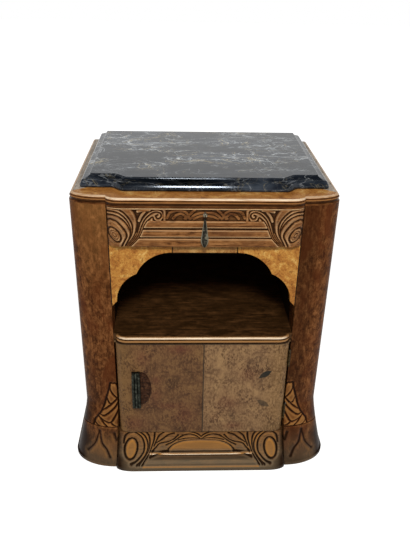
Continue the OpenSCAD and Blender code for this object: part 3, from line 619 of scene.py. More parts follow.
def bracket_rows():
    """The right bracket: its section is carried along the arch. Each row is a line from
    the back of the sawn edge, over the rounded arris, across the face to the outer
    edge, down into the gap there and to the back again."""
    turns = [np.arctan2(z - TIP, x - STRIP) for x, z in ((CHEEK, LEDGE), CUSP)]
    angles = np.unique(np.concatenate([np.linspace(0, np.pi / 2, 160), turns]))
    dx, dz = np.cos(angles), np.sin(angles)
    inner = arch_reach(angles)
    outer = np.minimum((CHEEK - STRIP) / np.maximum(dx, 1e-9), (LEDGE - TIP) / np.maximum(dz, 1e-9))
    rows = [place(STRIP + (inner + step) * dx, FACE + deep, TIP + (inner + step) * dz)
            for step, deep in ((0, 12), *arris, (1.8, 0))]
    for short, deep in ((2.6, 0), (2.2, 0.3), (2.0, 5), (0, 5), (0, 12)):
        rows.append(place(np.minimum(STRIP + outer * dx, CHEEK - short), FACE + deep, TIP + outer * dz))
    return np.stack(rows, 1)


right_bracket = bracket_rows()
# painted shade in the gap, the row's last four points
unshaded = np.broadcast_to(np.arange(right_bracket.shape[1]) < right_bracket.shape[1] - 4,
                        right_bracket.shape[:2])
for side, sign in (("left", -1), ("right", 1)):
    make_piece(f"burl_{side}_bracket", right_bracket * (sign, 1, 1), "carcass", "walnut_burl",
               burl, f"{side}_spandrel", wrap=True, carving=unshaded)

strip_edge = np.array([(0, 12), *arris, (2.5, 0), (LEDGE - CROWN, 0), (LEDGE - CROWN, 12)])
strip_x = np.array([-STRIP + 2.0, STRIP - 2.0])
rows = place(strip_x[:, None], FACE + strip_edge[None, :, 1], CROWN + strip_edge[None, :, 0])
make_piece("burl_strip", rows, "carcass", "walnut_burl", shaded_strip_burl, "apron_strip", wrap=True,
           carving=np.ones(rows.shape[:2]))


# ---- Wooden top and its moulding ----
# The top under the marble is one frame of walnut: golden burl veneer on the strip that
# shows in front, a pale grey-brown one along the sides whose paleness is a painted sheen,
# and a roll over a bead and a cove run round its edge.

def corner_plan(out):
    """The cabinet's outline at an offset outside the body: a flat centre whose ends
    round back into a notch, then an elliptical corner to the side."""
    half = np.vstack([quarter((CHEEK - 28, -out), (CHEEK, NOTCH - out), 16),
                      quarter((CHEEK, NOTCH - out), (SIDE + out, CORNER), 30)[1:]])
    return np.vstack([[(SIDE + out, DEPTH)], half[::-1], half * (-1, 1), [(-SIDE - out, DEPTH)]])


def core_plan(out):
    """The straight cut round the softwood core, the frame's inner face."""
    edge = corner_plan(out)
    return np.column_stack([np.clip(edge[:, 0], -205, 205), np.maximum(edge[:, 1], 70)])


def frame_rows():
    """The moulding's section carried along the outline from the back right round the
    front to the back left: a cove, a bead and a roll, and the straight inner face."""
    roll = np.radians(np.linspace(0, 90, 12))
    hollow = through((0, 1.6), (-2.2, 2.4), (-3.1, 4.4), (-2.9, 6.6), (-1.6, 7.8), (-1.1, 9.2),
                     (-1.6, 10.6), (-3.1, 11.4), steps=4)
    rounded = np.stack([-2.6 - 5.4 * (1 - np.cos(roll)), 12 + 4 * np.sin(roll)], -1)
    outer = swept(np.vstack([[(0, 0)], hollow, rounded]), FRAME, corner_plan)
    return np.vstack([outer, swept([(0, SLAB - FRAME), (0, 0)], FRAME, core_plan)]).swapaxes(0, 1)


SLAB = 625.0       # height of the frame's top, which the slab lies on
rows = frame_rows()   # x, depth and height
# painted shade in the cove and under the roll, the bead and the fillet rubbed, and a painted highlight
# along the roll's crown, less strong towards the corners and along the sides
shape = np.interp(rows[..., 2] - FRAME, [0, 1.2, 2.2, 4.5, 7.2, 9.2, 10.6, 11.5, 12.6, 14],
                  [0.35, 0.6, 0.3, 0.12, 0.4, 0.95, 0.5, 0.1, 0.6, 1.5])
shape = np.minimum(shape, np.interp(rows[..., 1], [-6, 25, 60], [1.5, 1.15, 1.2]))
frame_walnut = walnut("walnut_moulding", "X", "#2E170A", "#643A1C", "#83542C", "#47270F",
                      gloss=0.34, shine=0.15, streaks=0.6, rubbed="#94673A")
moulding = make_piece("top_moulding", laid(rows), "carcass", "walnut_veneer", frame_walnut, "top_frame",
                      wrap=True, carving=shape)
moulding.data.materials.append(
    golden_burl("golden_burl_top", "#643B16", "#8F5C29", "#A47036", "#C39E61"))
# the top along the sides is pale grey: a painted sheen
moulding.data.materials.append(
    walnut("walnut_side_painted_sheen", "Y", "#6A5E52", "#9A8F82", "#B4AA9D", "#857A6D", gloss=0.5))
centres = np.empty(len(moulding.data.polygons) * 3)
moulding.data.polygons.foreach_get("center", centres)
on_top, along_side = centres[2::3] > (SLAB - 0.1) / 1000, centres[1::3] > -0.115
moulding.data.polygons.foreach_set(
    "material_index", (on_top * (1 + along_side)).astype(np.int32))


# ---- Marble slab ----
# A loose slab of black marble, veined with gold and pale grey. Its front steps back
# at the corners in an ogee, and the edge is worked to a fat nose, a hollow and a thin
# raised table, all polished.

def black_marble():
    """Polished black marble: veins are where a cloudy noise crosses its mean value, so
    they are thin and never end, thickest in some clouds, fading towards the front, and
    drawn out along X. The polish shows the pale room in the table at a low angle."""
    finish, tree, shade, where = start_finish("veined_black_marble", Roughness=0.11,
                                              Specular_IOR_Level=0.28,
                                              Specular_Tint=colour("#DCE6F2"))
    drawn = add(tree, "Mapping", {"Vector": where, "Scale": (0.6, 1.1, 1.0)})
    cloud = add(tree, "TexNoise", {"Vector": drawn, "Scale": 13.0, "Detail": 6.0})
    back = add(tree, "MapRange", {"Value": add(tree, "SeparateXYZ", {"Vector": where}, out=1),
                                  "From Min": -0.11, "From Max": -0.02, "To Min": 0.2})
    thick = add(tree, "MapRange", {"Value": cloud, "From Min": 0.4, "From Max": 0.58, "To Min": 0.12})
    thick = add(tree, "Math", {0: thick, 1: back}, operation="MULTIPLY")
    tone = add(tree, "ValToRGB", {"Fac": cloud}, stops=[
        (0.4, "#020406"), (0.55, "#171B22"), (0.68, "#3A4048")])
    for run, scale, width, bend, share, code in (
            (0.6, 17.0, 0.011, 0.9, 1.0, "#D3D7D8"), (0.8, 34.0, 0.022, 1.2, 0.3, "#A9ABA4"),
            (0.3, 12.0, 0.007, 0.8, 1.0, "#C0C6CA"), (0.7, 9.0, 0.007, 1.6, 0.9, "#C4B284")):
        drawn = add(tree, "Mapping", {"Vector": where, "Scale": (run, 1.1, 1.0)})
        noise = add(tree, "TexNoise", {"Vector": drawn, "Scale": scale, "Detail": 6.0,
                                       "Roughness": 0.55, "Distortion": bend})
        off = add(tree, "Math", {0: noise, 1: 0.5}, operation="SUBTRACT")
        off = add(tree, "Math", {0: off}, operation="ABSOLUTE")
        vein = add(tree, "MapRange", {"Value": off, "From Min": width, "From Max": 0.0})
        vein = add(tree, "Math", {0: vein, 1: thick}, operation="MULTIPLY")
        tone = tint(tree, tone, code, vein, 0.0, 1.0, share)
    tree.links.new(tone, shade.inputs["Base Color"])
    return finish


def slab_plan(inset):
    """The slab seen from above at an inset, three quarters of it at the sides: flat
    front, a long ogee back to each corner, small rounded corners, straight sides."""
    front, rear, side = 39 + inset, 58 + inset, 0.75 * inset
    half, s = 231 - side, np.linspace(0, 1, 30)
    x0, x1 = 150 - side / 2, 176 - side / 4
    ogee = np.stack([x0 + (x1 - x0) * s, front + 19 * (1 - np.cos(np.pi * s)) / 2], -1)
    corner = quarter((half - 5, rear), (half, rear + 5), 8)
    return both_halves(np.vstack([ogee, corner, [(half, DEPTH)]]))


def nose_profile():
    """The fat nose, 14 mm high, by the angle its face leans: the curve's radius is small
    below, larger above, and five times that near 30 degrees, where it is worked flat."""
    lean = np.radians(np.linspace(-90, 90, 181))
    step = np.where(lean < 0, 0.6, 1 + 4 * np.exp(-((lean - np.radians(30)) / np.radians(7)) ** 2))
    inset, height = np.cumsum(step * np.sin(lean)), np.cumsum(step * np.cos(lean))
    size = 14 / height[-1]
    return np.stack([inset - inset.min(), height], -1)[::5] * size


hollow = through((8.9, 14.1), (11.5, 14.4), (16.5, 15.3), (21, 16.6), (22.4, 18), (22.8, 19.3),
                 (23.3, 19.8), (24, 20), steps=4)
rings = swept(np.vstack([nose_profile(), hollow]), SLAB, slab_plan)
make_piece("marble_slab", laid(rings), "carcass", "black_marble", black_marble(), "marble_top",
           wrap=True)


# ---- Carved drawer front ----
# Solid walnut. Each end is carved with an eye inside crescent rings and a scroll that
# rises from them; a narrow carved band runs along the top, and below it three flat
# bands with bright upper edges run across, parted by dark grooves.

DRAWER = (533.0, 608.0)    # heights of the front's lower and upper edge
GROUND = (584.4, 605.8)    # and of the carved band's ground
drawer_lines = [through(*line) for line in (
    [(-181, 579), (-174, 584.5), (-168.5, 584.9), (-159.1, 580.8), (-150.7, 571.5), (-144.3, 560.5),
     (-143.3, 552.2), (-148.2, 542.3), (-152, 534)],
    [(-181, 592), (-172, 594), (-164.8, 593.8), (-153.7, 589.2), (-144.7, 580.4), (-138.8, 570.2),
     (-136.1, 560.6), (-137.9, 550.8), (-145.9, 535)],
    [(-181, 599), (-166, 600.5), (-155, 597.5), (-146, 590), (-139.5, 580), (-136, 569), (-135.5, 562)],
    [(-166, 607), (-155.4, 604.6), (-148.2, 600), (-139.9, 590.6), (-133.5, 578.5), (-132.6, 567.5),
     (-135, 555), (-144.6, 536)],
    [(-133.5, 608), (-126.6, 596.1), (-123.7, 584), (-124.6, 570.3), (-128.6, 556.4), (-136.7, 543.8),
     (-146.6, 533)],
    [(-143.4, 533), (-129.5, 549.4), (-123.4, 560.6), (-120.3, 571.7), (-116.5, 582.7), (-109.9, 592.9),
     (-101, 601), (-89.7, 605.2), (-80.5, 603.8), (-76.2, 597.8), (-75.6, 591), (-78.6, 585.4)],
    [(-140.3, 533), (-125.7, 549.5), (-119.6, 562), (-115.7, 573.1), (-110.1, 585.4), (-103.1, 593.6),
     (-96.1, 599), (-88.6, 601), (-81.8, 598.6), (-80.1, 593.2), (-83.4, 588.9), (-88.2, 589.1),
     (-89.6, 593.4), (-86.6, 595.6)],
    [(-136.4, 533), (-122.6, 548.1), (-115.8, 560.7), (-111.8, 571.7), (-106.5, 581.3), (-100.1, 588.2),
     (-95.6, 590.4), (-93.4, 585.6), (-88.9, 582.2), (-81.4, 581.2), (-74.6, 582.4)])]
eye_rings = [ellipse(-165.3, 555.6, 15.5 * k, 9.4 * k, -34) for k in (1, 0.62, 0.3)]
band_ridges = [through(*line) for line in (
    [(-74, 606), (-74.3, 583)],
    [(-70, 589.5), (-64.5, 599.5), (-54.5, 603.5), (-42.5, 603.7), (-34, 598), (-30, 589)],
    [(-59, 588.5), (-52.5, 595.5), (-44.3, 598), (-38, 594), (-35.5, 588.5)],
    [(-38, 588.5), (-28.7, 597), (-20.5, 605)],
    [(-28, 588.5), (-19.9, 595.8), (-11.2, 599), (0, 599.5)],
    [(-22, 588), (-14, 592), (-6, 593.5), (0, 593.5)],
    [(-109.7, 601.6), (-116.2, 592.8), (-120.1, 584)],
    [(-101, 605), (-112, 604), (-122, 602)])]
wedge = np.array([(-133, 608), (-126.6, 596), (-123.7, 584), (-124.6, 570), (-128, 558),
                  (-123.4, 561), (-120.3, 571.7), (-116.5, 582.7), (-109.9, 592.9), (-101, 601),
                  (-91, 605), (-91, 608)])
stripe_profile = np.array([
    (533, -0.7), (534.2, 0), (547.6, 0), (549.4, -1.3), (549.6, -3), (551.9, -3), (552.2, -0.4),
    (552.8, 0), (564.8, 0), (566.6, -1.3), (566.8, -3), (570.2, -3), (570.5, -0.4), (571.1, 0),
    (582.4, 0), (584.2, -1.3), (584.4, -3), (605.6, -3), (606, -0.5), (606.8, 0), (608, -0.3)])


def inside(x, z, outline):
    """True inside a closed outline, by counting its edges crossed on the way right."""
    odd = np.zeros(x.shape, bool)
    for (x0, z0), (x1, z1) in zip(outline, np.roll(outline, -1, 0)):
        if z0 != z1:
            odd ^= ((z0 > z) != (z1 > z)) & (x < (x1 - x0) * (z - z0) / (z1 - z0) + x0)
    return odd


def drawer_cuts(x, z):
    """Carved height of the drawer front's left half: the stripes' section right of the
    scroll, V cuts among the rings and scroll left of it, sunk ground in the wedge and
    in the top band, and low round ridges on that ground."""
    stem = drawer_lines[-1][:60]    # the scroll's right edge, up to where it turns over
    right = np.where(z > GROUND[0] - 0.1, -74.3, np.interp(z, stem[:, 1], stem[:, 0]))
    stripes = np.interp(z, *stripe_profile.T)
    carved = np.minimum(cut_lines(x, z, drawer_lines + eye_rings[:1], 3.0, 4.4),
                        cut_lines(x, z, eye_rings[1:], 1.2, 2.4))
    carved = np.minimum(carved, np.where(inside(x, z, wedge), -2.8, 0))
    height = np.where(x > right, stripes, carved)
    for ridge in band_ridges:
        top = -0.4 - 2.6 * (gap_to(x, z, ridge, 4.0) / 3.0) ** 4
        height = np.where(z < GROUND[1], np.maximum(height, np.maximum(top, -3)), height)
    return np.where((z > GROUND[1]) & (x <= right), stripes, height)


def drawer_rows():
    """Rows by height, columns along the drawer front's plan: straight, with each end a
    quarter ellipse back into the notch."""
    x, bend = bowed(601, straight=149.0, end=30.2, share=0.82)
    v = NOTCH * (1 - np.cos(bend))
    x, z = np.meshgrid(x, np.linspace(*DRAWER, 150))
    cuts = soften(drawer_cuts(-np.abs(x), z), 1)
    # the band on top is darker than the rest, and the edge above it is rubbed, with a painted highlight
    shape = shade_and_wear(cuts) + 0.25 * (z > 606)
    shape = np.where((np.abs(z - 595) < 10.8) & (np.abs(x) < 73), 0.18 + 0.42 * shape, shape)
    # and painted shade darkens the ends in the gaps beside the pilasters
    shape = shape - 0.5 * np.clip((np.abs(x) - 176) / 2.5, 0, 1)
    return x, np.broadcast_to(v, x.shape) - cuts, z, shape


carved_drawer = walnut("carved_walnut_drawer", "X", "#3A1F0E", "#7E522D", "#96693F", "#5C3921",
                       gloss=0.34, shine=0.15, streaks=0.6, rubbed="#C4A075")
points, shape = backed(*drawer_rows(), 20.0)
make_piece("carved_drawer_front", points, "drawer", "carved_walnut", carved_drawer,
           "drawer_front", carving=shape)


# ---- Drop pull ----
# A cast bronze spear hangs from a pin in a small slotted ball on the drawer. It has a
# thin neck, a collar and a long blade with a hollow down its face.

def aged_bronze(name, dark, mid, rubbed):
    """Cast bronze with a dark patina in clouds of 6 mm, rubbed through to warm metal in
    places, over a pitted cast skin. It is lighter still wherever the carving attribute is high:
    rubbed metal with a painted highlight."""
    finish, tree, shade, where = start_finish(name, Metallic=0.85, Roughness=0.4, Specular_IOR_Level=0.1)
    cloud = add(tree, "TexNoise", {"Vector": where, "Scale": 160.0, "Detail": 5.0, "Distortion": 0.6})
    tone = add(tree, "ValToRGB", {"Fac": cloud}, stops=[(0.35, dark), (0.55, mid), (0.72, rubbed)])
    tone = tint(tree, tone, rubbed, add(tree, "Attribute", **CARVING), 0.5, 1.0, 0.9)
    coat(tree, shade, tone, cloud, 0.3, 0.0003)
    return finish


bronze = aged_bronze("patinated_bronze_drop", "#12110C", "#2B2923", "#75705F")
BALL_X, BALL_V = -2.0, -9.0   # the ball's middle: x, and depth behind the front plane


def spear_rows():
    """The blade's section, a rounded diamond hollowed along the middle of its faces,
    carried down from the eye to the tip, and how much its two side edges are rubbed and
    carry a painted highlight."""
    height = np.array([603.0, 601, 598, 596.5, 594.5, 592.5, 592, 590.6, 589.8, 588, 580, 570, 560,
                       553, 550, 547, 543, 539, 537, 536.2])
    width = np.array([0.4, 0.9, 0.9, 0.8, 0.8, 0.9, 2.9, 2.9, 1.9, 2.2, 3.4, 4.6, 5.9, 6.9, 7.1, 6.7,
                      5.2, 3.2, 2.0, 0.6])
    thick = np.array([0.4, 1.6, 1.6, 0.9, 0.8, 0.9, 2.9, 2.9, 1.6, 1.7, 2.1, 2.5, 2.8, 3.0, 3.0, 2.8,
                      2.2, 1.6, 1.1, 0.5])
    t = np.linspace(0, 2 * np.pi, 40, endpoint=False)
    shape = 1 / (np.abs(np.cos(t)) ** 1.1 + np.abs(np.sin(t)) ** 1.1)
    sunk = np.where(height < 589, 0.45, 1.0)[:, None]
    thick = thick[:, None] * (sunk + (1 - sunk) * np.abs(np.cos(t)) ** 0.6)
    rim = np.abs(np.cos(t)) ** 4 * (height < 589)[:, None]
    return place(BALL_X + width[:, None] * shape * np.cos(t), BALL_V + thick * shape * np.sin(t),
                 np.broadcast_to(height[:, None], rim.shape)), rim


points, rims = spear_rows()
make_piece("spear_drop", points, "drop_pull", "bronze", bronze, "pull_drop",
           wrap=True, carving=rims, sharp=28)
# the ball and its pin are pale: rubbed bronze with a painted highlight
dress(aged_bronze("bronze_post_painted_highlight", "#5E5848", "#9A937F", "#C9C3B2"), "pull_post", "pull_pin")


# ---- Door ----
# A flat core veneered in two halves that meet just right of the middle. The burl is
# dulled and grey-brown with red stains. An inlaid leaf is missing from the right half
# and has left its bed, and the pull has stained the left half.

def door_burl(name, seed, dark, mid, light):
    """Dull burl veneer: grey-brown ground with soft clouds 50 mm across, short upright
    cracks and dark flecks 1 to 3 mm long in drifts, more golden near the outer ends. The
    carving attribute gives the open bed and the seam below 0.5, and reddish stains,
    broken up by flecks, above."""
    finish, tree, shade, where = start_finish(name, Roughness=0.5, Specular_IOR_Level=0.12)
    shifted = add(tree, "Mapping", {"Vector": where, "Location": (seed, 0.0, seed)})
    patterns = []
    for stretch, scale, detail, rough, bend in (
            ((1.0, 1.0, 1.0), 20.0, 9.0, 0.76, 0.6),        # clouds
            ((1.0, 1.0, 0.6), 300.0, 4.0, 0.7, 0.0),        # flecks
            ((1.0, 1.0, 1.0), 28.0, 3.0, 0.5, 0.0),         # drifts
            ((420.0, 420.0, 22.0), 1.0, 2.0, 0.5, 0.0)):    # cracks
        drawn = add(tree, "Mapping", {"Vector": shifted, "Scale": stretch})
        patterns.append(add(tree, "TexNoise", {"Vector": drawn, "Scale": scale, "Detail": detail,
                                               "Roughness": rough, "Distortion": bend}))
    cloud, fleck, drift, crack = patterns
    tone = add(tree, "ValToRGB", {"Fac": cloud}, stops=[(0.38, dark), (0.5, mid), (0.62, light)])
    outer = add(tree, "Math", {0: add(tree, "SeparateXYZ", {"Vector": where})}, operation="ABSOLUTE")
    tone = tint(tree, tone, "#8A6838", outer, 0.125, 0.165, 0.35)
    tone = tint(tree, tone, light, fleck, 0.49, 0.38, 0.65)
    cut = add(tree, "Attribute", **CARVING)
    stain = add(tree, "MapRange", {"Value": cut, "From Min": 0.5, "From Max": 1.0})
    broken = add(tree, "MapRange", {"Value": fleck, "From Min": 0.35, "From Max": 0.65,
                                    "To Min": 0.45, "To Max": 1.15})
    stain = add(tree, "Math", {0: stain, 1: broken}, operation="MULTIPLY", use_clamp=True)
    tone = tint(tree, tone, "#5A2E20", stain, 0.0, 1.0)
    drift = add(tree, "MapRange", {"Value": drift, "From Min": 0.4, "From Max": 0.62, "To Min": 0.2})
    fleck = add(tree, "MapRange", {"Value": fleck, "From Min": 0.5, "From Max": 0.575, "To Max": 0.72})
    fleck = add(tree, "Math", {0: fleck, 1: drift}, operation="MULTIPLY")
    tone = tint(tree, tone, "#331B0D", fleck, 0.0, 1.0)
    tone = tint(tree, tone, "#33200F", crack, 0.64, 0.7, 0.5)
    tone = tint(tree, tone, "#1F1D17", cut, 0.5, 0.0)
    coat(tree, shade, tone, fleck, 0.4, 0.0005, invert=True)
    return finish


def leaf_shape(x, z, x0, z0, lean, soft):
    """Share inside a leaf 32 mm long and 13 mm wide, its long axis lean degrees up."""
    a = np.radians(lean)
    along = (x - x0) * np.cos(a) + (z - z0) * np.sin(a)
    across = (z - z0) * np.cos(a) - (x - x0) * np.sin(a)
    return np.clip((6.5 * (1 - (along / 16) ** 2) - np.abs(across)) / soft + 0.5, 0, 1)


DOOR = (86.5, 317.0)   # heights of the lower and upper edge
SEAM = 2.0             # where the two halves meet
BOW = 151.0            # half the length of the straight middle
# Soft red-brown stains: middle x and z, half width, half height, strength
stains = {-1: [(-125, 284, 15, 20, 0.7), (-95, 228, 9, 12, 0.55), (-98, 190, 11, 20, 0.6),
               (-146, 112, 22, 20, 0.7), (-50, 306, 24, 12, 0.75), (-38, 135, 22, 26, 0.55),
               (-70, 160, 30, 8, 0.5)],
          1: [(95, 242, 20, 18, 0.5), (54, 168, 26, 22, 0.5), (68, 104, 20, 9, 0.6),
              (30, 130, 12, 14, 0.3)]}


def door_rows(sign):
    """One half of the door's face: flat from the seam, its outer end a quarter ellipse
    back to the edge. Cuts are the arris at the seam and at the borders and the bed of
    the leaf; the shade tells the material where it is open, dirty or stained."""
    seam, (low, high) = SEAM * sign, DOOR
    u = np.concatenate([[seam, seam + 0.6, seam + 1.4], np.linspace(seam + 2.4, BOW, 130)])
    end = quarter((BOW, 0.0), (176.0, NOTCH), 26)[1:]
    x, v = np.concatenate([u, end[:, 0]]), np.concatenate([np.zeros(len(u)), end[:, 1]])
    z = np.concatenate([[low, low + 0.7, low + 1.7], np.linspace(low + 3.5, high - 3.5, 190),
                        [high - 1.7, high - 0.7, high]])
    x, z = np.meshgrid(x, z)
    edge = np.minimum(np.minimum(z - low, high - z), np.where(x < 20, x - seam, 20))
    cuts = -0.5 * np.clip(1 - edge / 1.6, 0, 1) ** 2
    shade = 0.5 - 0.45 * np.clip(1.3 - edge / 1.4, 0, 1)
    for x0, z0, wide, tall, much in stains[sign]:
        spot = np.exp(-((sign * x - x0) / wide) ** 2 - ((z - z0) / tall) ** 2)
        shade = shade + 0.5 * much * spot * (edge > 2)
    if sign > 0:
        bed = leaf_shape(x, z, 130, 241, 36, 0.8)
        cuts = cuts - 1.1 * bed
        shade = shade - 0.5 * bed - 0.34 * leaf_shape(x, z, 130, 165.5, -33, 2.5)
    return sign * x, np.broadcast_to(v, x.shape) - cuts, z, np.clip(shade, 0, 1)


for side, sign, node, tones in (
        ("left", -1, "door_left_veneer", ("#442D1B", "#61432A", "#785836")),
        ("right", 1, "door_right_veneer", ("#58412C", "#7A5C3F", "#94744F"))):
    x, v, z, shade = (np.pad(f, 1, mode="edge") for f in door_rows(sign))
    # the back lies on the core, 1.2 mm behind the face
    back = np.interp(np.abs(x), *np.vstack([[(0.0, 1.2)], quarter((BOW, 1.2), (175.5, NOTCH), 26)]).T)
    for rim in ((0, slice(None)), (-1, slice(None)), (slice(None), 0), (slice(None), -1)):
        v[rim] = back[rim]
    make_piece(f"burl_door_{side}_half", place(x, v, z), "door", "door_veneer",
               door_burl(f"dull_burl_veneer_{side}", 0.31 + sign * 0.17, *tones), node, carving=shade)

door_edge = walnut("walnut_door_edge", "Z", "#241509", "#3E2917", "#5A3F29", "#2E1E12", gloss=0.55)
dress(door_edge, "door_core")


# ---- Door pull ----
# A bronze casting held by two screws: a fan-shaped plate with fine ribs flat on the
# door, browned like the door around it, and an upright bar of three reeds with a green
# patina along its straight side.

PULL = (159.0, 250.0)   # heights of the casting's lower and upper end


def bar_rows():
    """The bar's section, three half-round reeds on a flat back, carried up its height
    and drawn in at both ends."""
    t = np.radians(np.linspace(180, 0, 12))
    reeds = np.concatenate([np.stack([c + 3 * np.cos(t), 3.2 * np.sin(t)], -1) for c in (3, 9, 15)])
    section = np.vstack([[(0, -5.55), (0, -5.55)], reeds, [(18, -5.55), (18, -5.55)]])
    low, high = PULL
    height = np.concatenate([[low, low + 0.4, low + 1.4], np.linspace(low + 3, high - 4, 12),
                             [high - 1.6, high - 0.4, high]])
    pinch = np.interp(height, [low, low + 1.4, low + 3, high - 25, high - 4, high - 1.4, high],
                      [0.9, 0.97, 1, 1, 0.92, 0.88, 0.8])
    rise = np.interp(height, [low, low + 1.4, low + 4, high - 10, high - 3, high],
                     [0.45, 0.85, 1, 1, 0.8, 0.4])
    x = -137 + (section[None, :, 0] - 9) * pinch[:, None]
    v = -5.6 - section[None, :, 1] * np.where(section[None, :, 1] < 0, 1.0, rise[:, None])
    return place(x, v, np.broadcast_to(height[:, None], x.shape))


green_bronze = aged_bronze("green_bronze_bar", "#12130E", "#282A24", "#4A4C42")
make_piece("reeded_pull_bar", bar_rows(), "door", "bronze", green_bronze, "door_pull_bar",
           wrap=True, sharp=50)


def plate_rows():
    """The fan plate: every row runs from the bar out to the ellipse of the fan, and its
    face is ribbed along the rows, 4.6 mm apart, fading towards the rim."""
    z, u, middle = np.linspace(*PULL, 120), np.linspace(0, 1, 40), 207.0
    reach = -128 + 22 * np.sqrt(np.clip(1 - ((z - middle) / 42) ** 2, 0, 1))
    x = -146 + (reach[:, None] + 146) * u
    z = np.broadcast_to(z[:, None], x.shape)
    rib = 0.5 + 0.5 * np.cos((z - middle) / 4.6 * 2 * np.pi)
    rim = np.clip((reach[:, None] - x) / 1.2, 0, 1)
    v = -(0.5 + 1.0 * np.sqrt(rim) + 0.5 * rib * np.clip((reach[:, None] - x) / 5, 0, 1))
    return x, v, z


points, _ = backed(*plate_rows(), 0.5, 0.0)
fan_bronze = aged_bronze("browned_bronze_fan", "#1E110A", "#352014", "#4C3322")
make_piece("fan_pull_plate", points, "door", "bronze", fan_bronze, "door_pull_plate", sharp=50)


# ---- Hinges, catch and screws ----
# Two drawn brass butt hinges show in the gap on the right, and a brass ball catch sits
# in the door's top edge. Pins, screws, ball and spring are steel, gone dull.

def dull_metal(name, dark, light, rough):
    """Small plain fittings: tarnish in clouds a few millimetres across."""
    finish, tree, shade, where = start_finish(name, Metallic=1.0, Roughness=rough)
    cloud = add(tree, "TexNoise", {"Vector": where, "Scale": 240.0, "Detail": 4.0})
    tone = add(tree, "ValToRGB", {"Fac": cloud}, stops=[(0.35, dark), (0.65, light)])
    tree.links.new(tone, shade.inputs["Base Color"])
    return finish


# near-black brass: tarnish, and painted shade for the hinges in the door's gap
brass = dull_metal("tarnished_brass_painted_shade", "#1F170D", "#43351E", 0.5)
dress(brass, "upper_hinge_frame_leaf", "upper_hinge_door_leaf", "lower_hinge_frame_leaf",
      "lower_hinge_door_leaf", "catch_barrel", "catch_strike")
steel = dull_metal("dull_steel", "#5A5650", "#9C978E", 0.4)
dress(steel, "upper_hinge_pin", "lower_hinge_pin", "hinge_frame_screws", "hinge_door_screws",
      "back_screws", "pull_nut", "door_pull_screws", "catch_ball", "catch_screws")


def spring_rows():
    """Six turns of round wire, its section carried up a helix under the catch's ball."""
    turn = np.linspace(0, 6, 240)[:, None] * 2 * np.pi
    s = np.linspace(0, 2 * np.pi, 12, endpoint=False)
    wire, coil, bottom, length = 0.35, 2.3, 302.9, 9.75
    reach = coil + wire * np.cos(s)
    z = bottom + length * turn / turn[-1] + wire * np.sin(s)
    return place(-150 + reach * np.cos(turn), 12 + reach * np.sin(turn), z)


spring = make_piece("coil_spring", spring_rows(), "door", "steel", steel, "catch_spring",
                    wrap=True, sharp=50)
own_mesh(spring)


# ---- Studio ----
# A plain pale floor, white all round, one soft lamp high in front, as the shadow of the
# arch on the shelf tells, a black ceiling that shows only in polished faces, and the
# camera at the photograph's angle.

def level_square(name, half, z, corners):
    """A level square of the studio; the order of its corners says which way it faces."""
    mesh = bpy.data.meshes.new(name)
    mesh.from_pydata([(-half, -half, z), (half, -half, z), (half, half, z), (-half, half, z)], [],
                     [corners])
    return put(name, mesh)


def seen_by_eye(tree):
    """1 on rays from the camera, straight or by way of a polished face or glass."""
    rays = tree.nodes.new("ShaderNodeLightPath").outputs
    seen = add(tree, "Math", {0: rays["Is Camera Ray"], 1: rays["Is Glossy Ray"]}, operation="MAXIMUM")
    return add(tree, "Math", {0: seen, 1: rays["Is Transmission Ray"]}, operation="MAXIMUM")


floor = level_square("floor", 9, 0, (0, 1, 2, 3))
paper, tree, shade, where = start_finish("pale_floor_paper", Base_Color=colour("#D8D6D2"),
                                         Roughness=0.9, Specular_IOR_Level=0.0,
                                         Emission_Color=(1, 1, 1, 1))
away = add(tree, "VectorMath", {"Vector": where}, operation="LENGTH")
glow = add(tree, "MapRange", {"Value": away, "From Min": 0.8, "From Max": 2.5, "To Min": 0.7})
glow = add(tree, "Math", {0: seen_by_eye(tree), 1: glow}, operation="MULTIPLY")
tree.links.new(glow, shade.inputs["Emission Strength"])
floor.data.materials.append(paper)

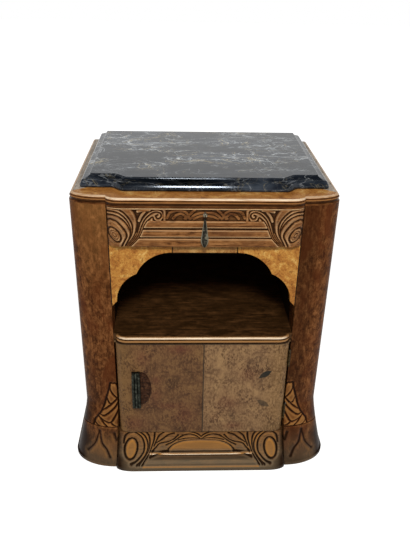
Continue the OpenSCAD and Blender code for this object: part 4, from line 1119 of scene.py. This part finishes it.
ceiling = level_square("dark_ceiling", 4, 3, (3, 2, 1, 0))
ceiling.visible_camera = ceiling.visible_diffuse = ceiling.visible_shadow = False
ceiling.visible_transmission = ceiling.visible_volume_scatter = False
black_paint = start_finish("black_ceiling_paint", Base_Color=colour("#080808"), Roughness=0.9,
                           Specular_IOR_Level=0.0)[0]
ceiling.data.materials.append(black_paint)

world = bpy.data.worlds.new("studio_air")
bpy.context.scene.world = world
world.use_nodes = True
tree = world.node_tree
tree.nodes.clear()
level = add(tree, "MapRange", {"Value": seen_by_eye(tree), "To Min": 0.28, "To Max": 1.0})
air = add(tree, "Background", {"Color": (1, 1, 1, 1), "Strength": level})
add(tree, "OutputWorld", {"Surface": air})


def aim(at, ahead, level):
    """The matrix of a lamp or camera that stands at a place and looks ahead, with its
    right-hand side along level."""
    turn = Matrix(np.column_stack([level, np.cross(level, ahead), -ahead]).tolist()).to_4x4()
    turn.translation = at
    return turn


lamp = bpy.data.lights.new("soft_lamp", "AREA")
lamp.shape, lamp.size, lamp.energy = "SQUARE", 0.45, 52.0
lamp_stand = put("soft_lamp", lamp)
lamp_stand.matrix_world = aim((0.0, -1.78, 2.147), np.array([0.0, 1.0, -1.0]) / np.sqrt(2),
                              np.array([1.0, 0.0, 0.0]))

# The camera as fitted to the photograph's edges: focal length and long side in pixels,
# where it stands, and how it is turned
PHOTO_FOCAL, PHOTO_LONG = 606.296, 547.0
STAND = (-0.0443, -1.1786, 1.0140)
YAW, PITCH, ROLL = np.radians([2.548, 28.076, 1.309])
ahead = np.array([np.sin(YAW) * np.cos(PITCH), np.cos(YAW) * np.cos(PITCH), -np.sin(PITCH)])
flat = np.array([np.cos(YAW), -np.sin(YAW), 0.0])
eye = bpy.data.cameras.new("camera")
eye.sensor_width, eye.lens = 36.0, 36.0 * PHOTO_FOCAL / PHOTO_LONG
eye.clip_start, eye.clip_end = 0.05, 50.0
camera = put("camera", eye)
camera.matrix_world = aim(STAND, ahead, flat * np.cos(ROLL) + np.cross(flat, ahead) * np.sin(ROLL))
bpy.context.scene.camera = camera
bpy.context.scene.view_settings.view_transform = "Standard"
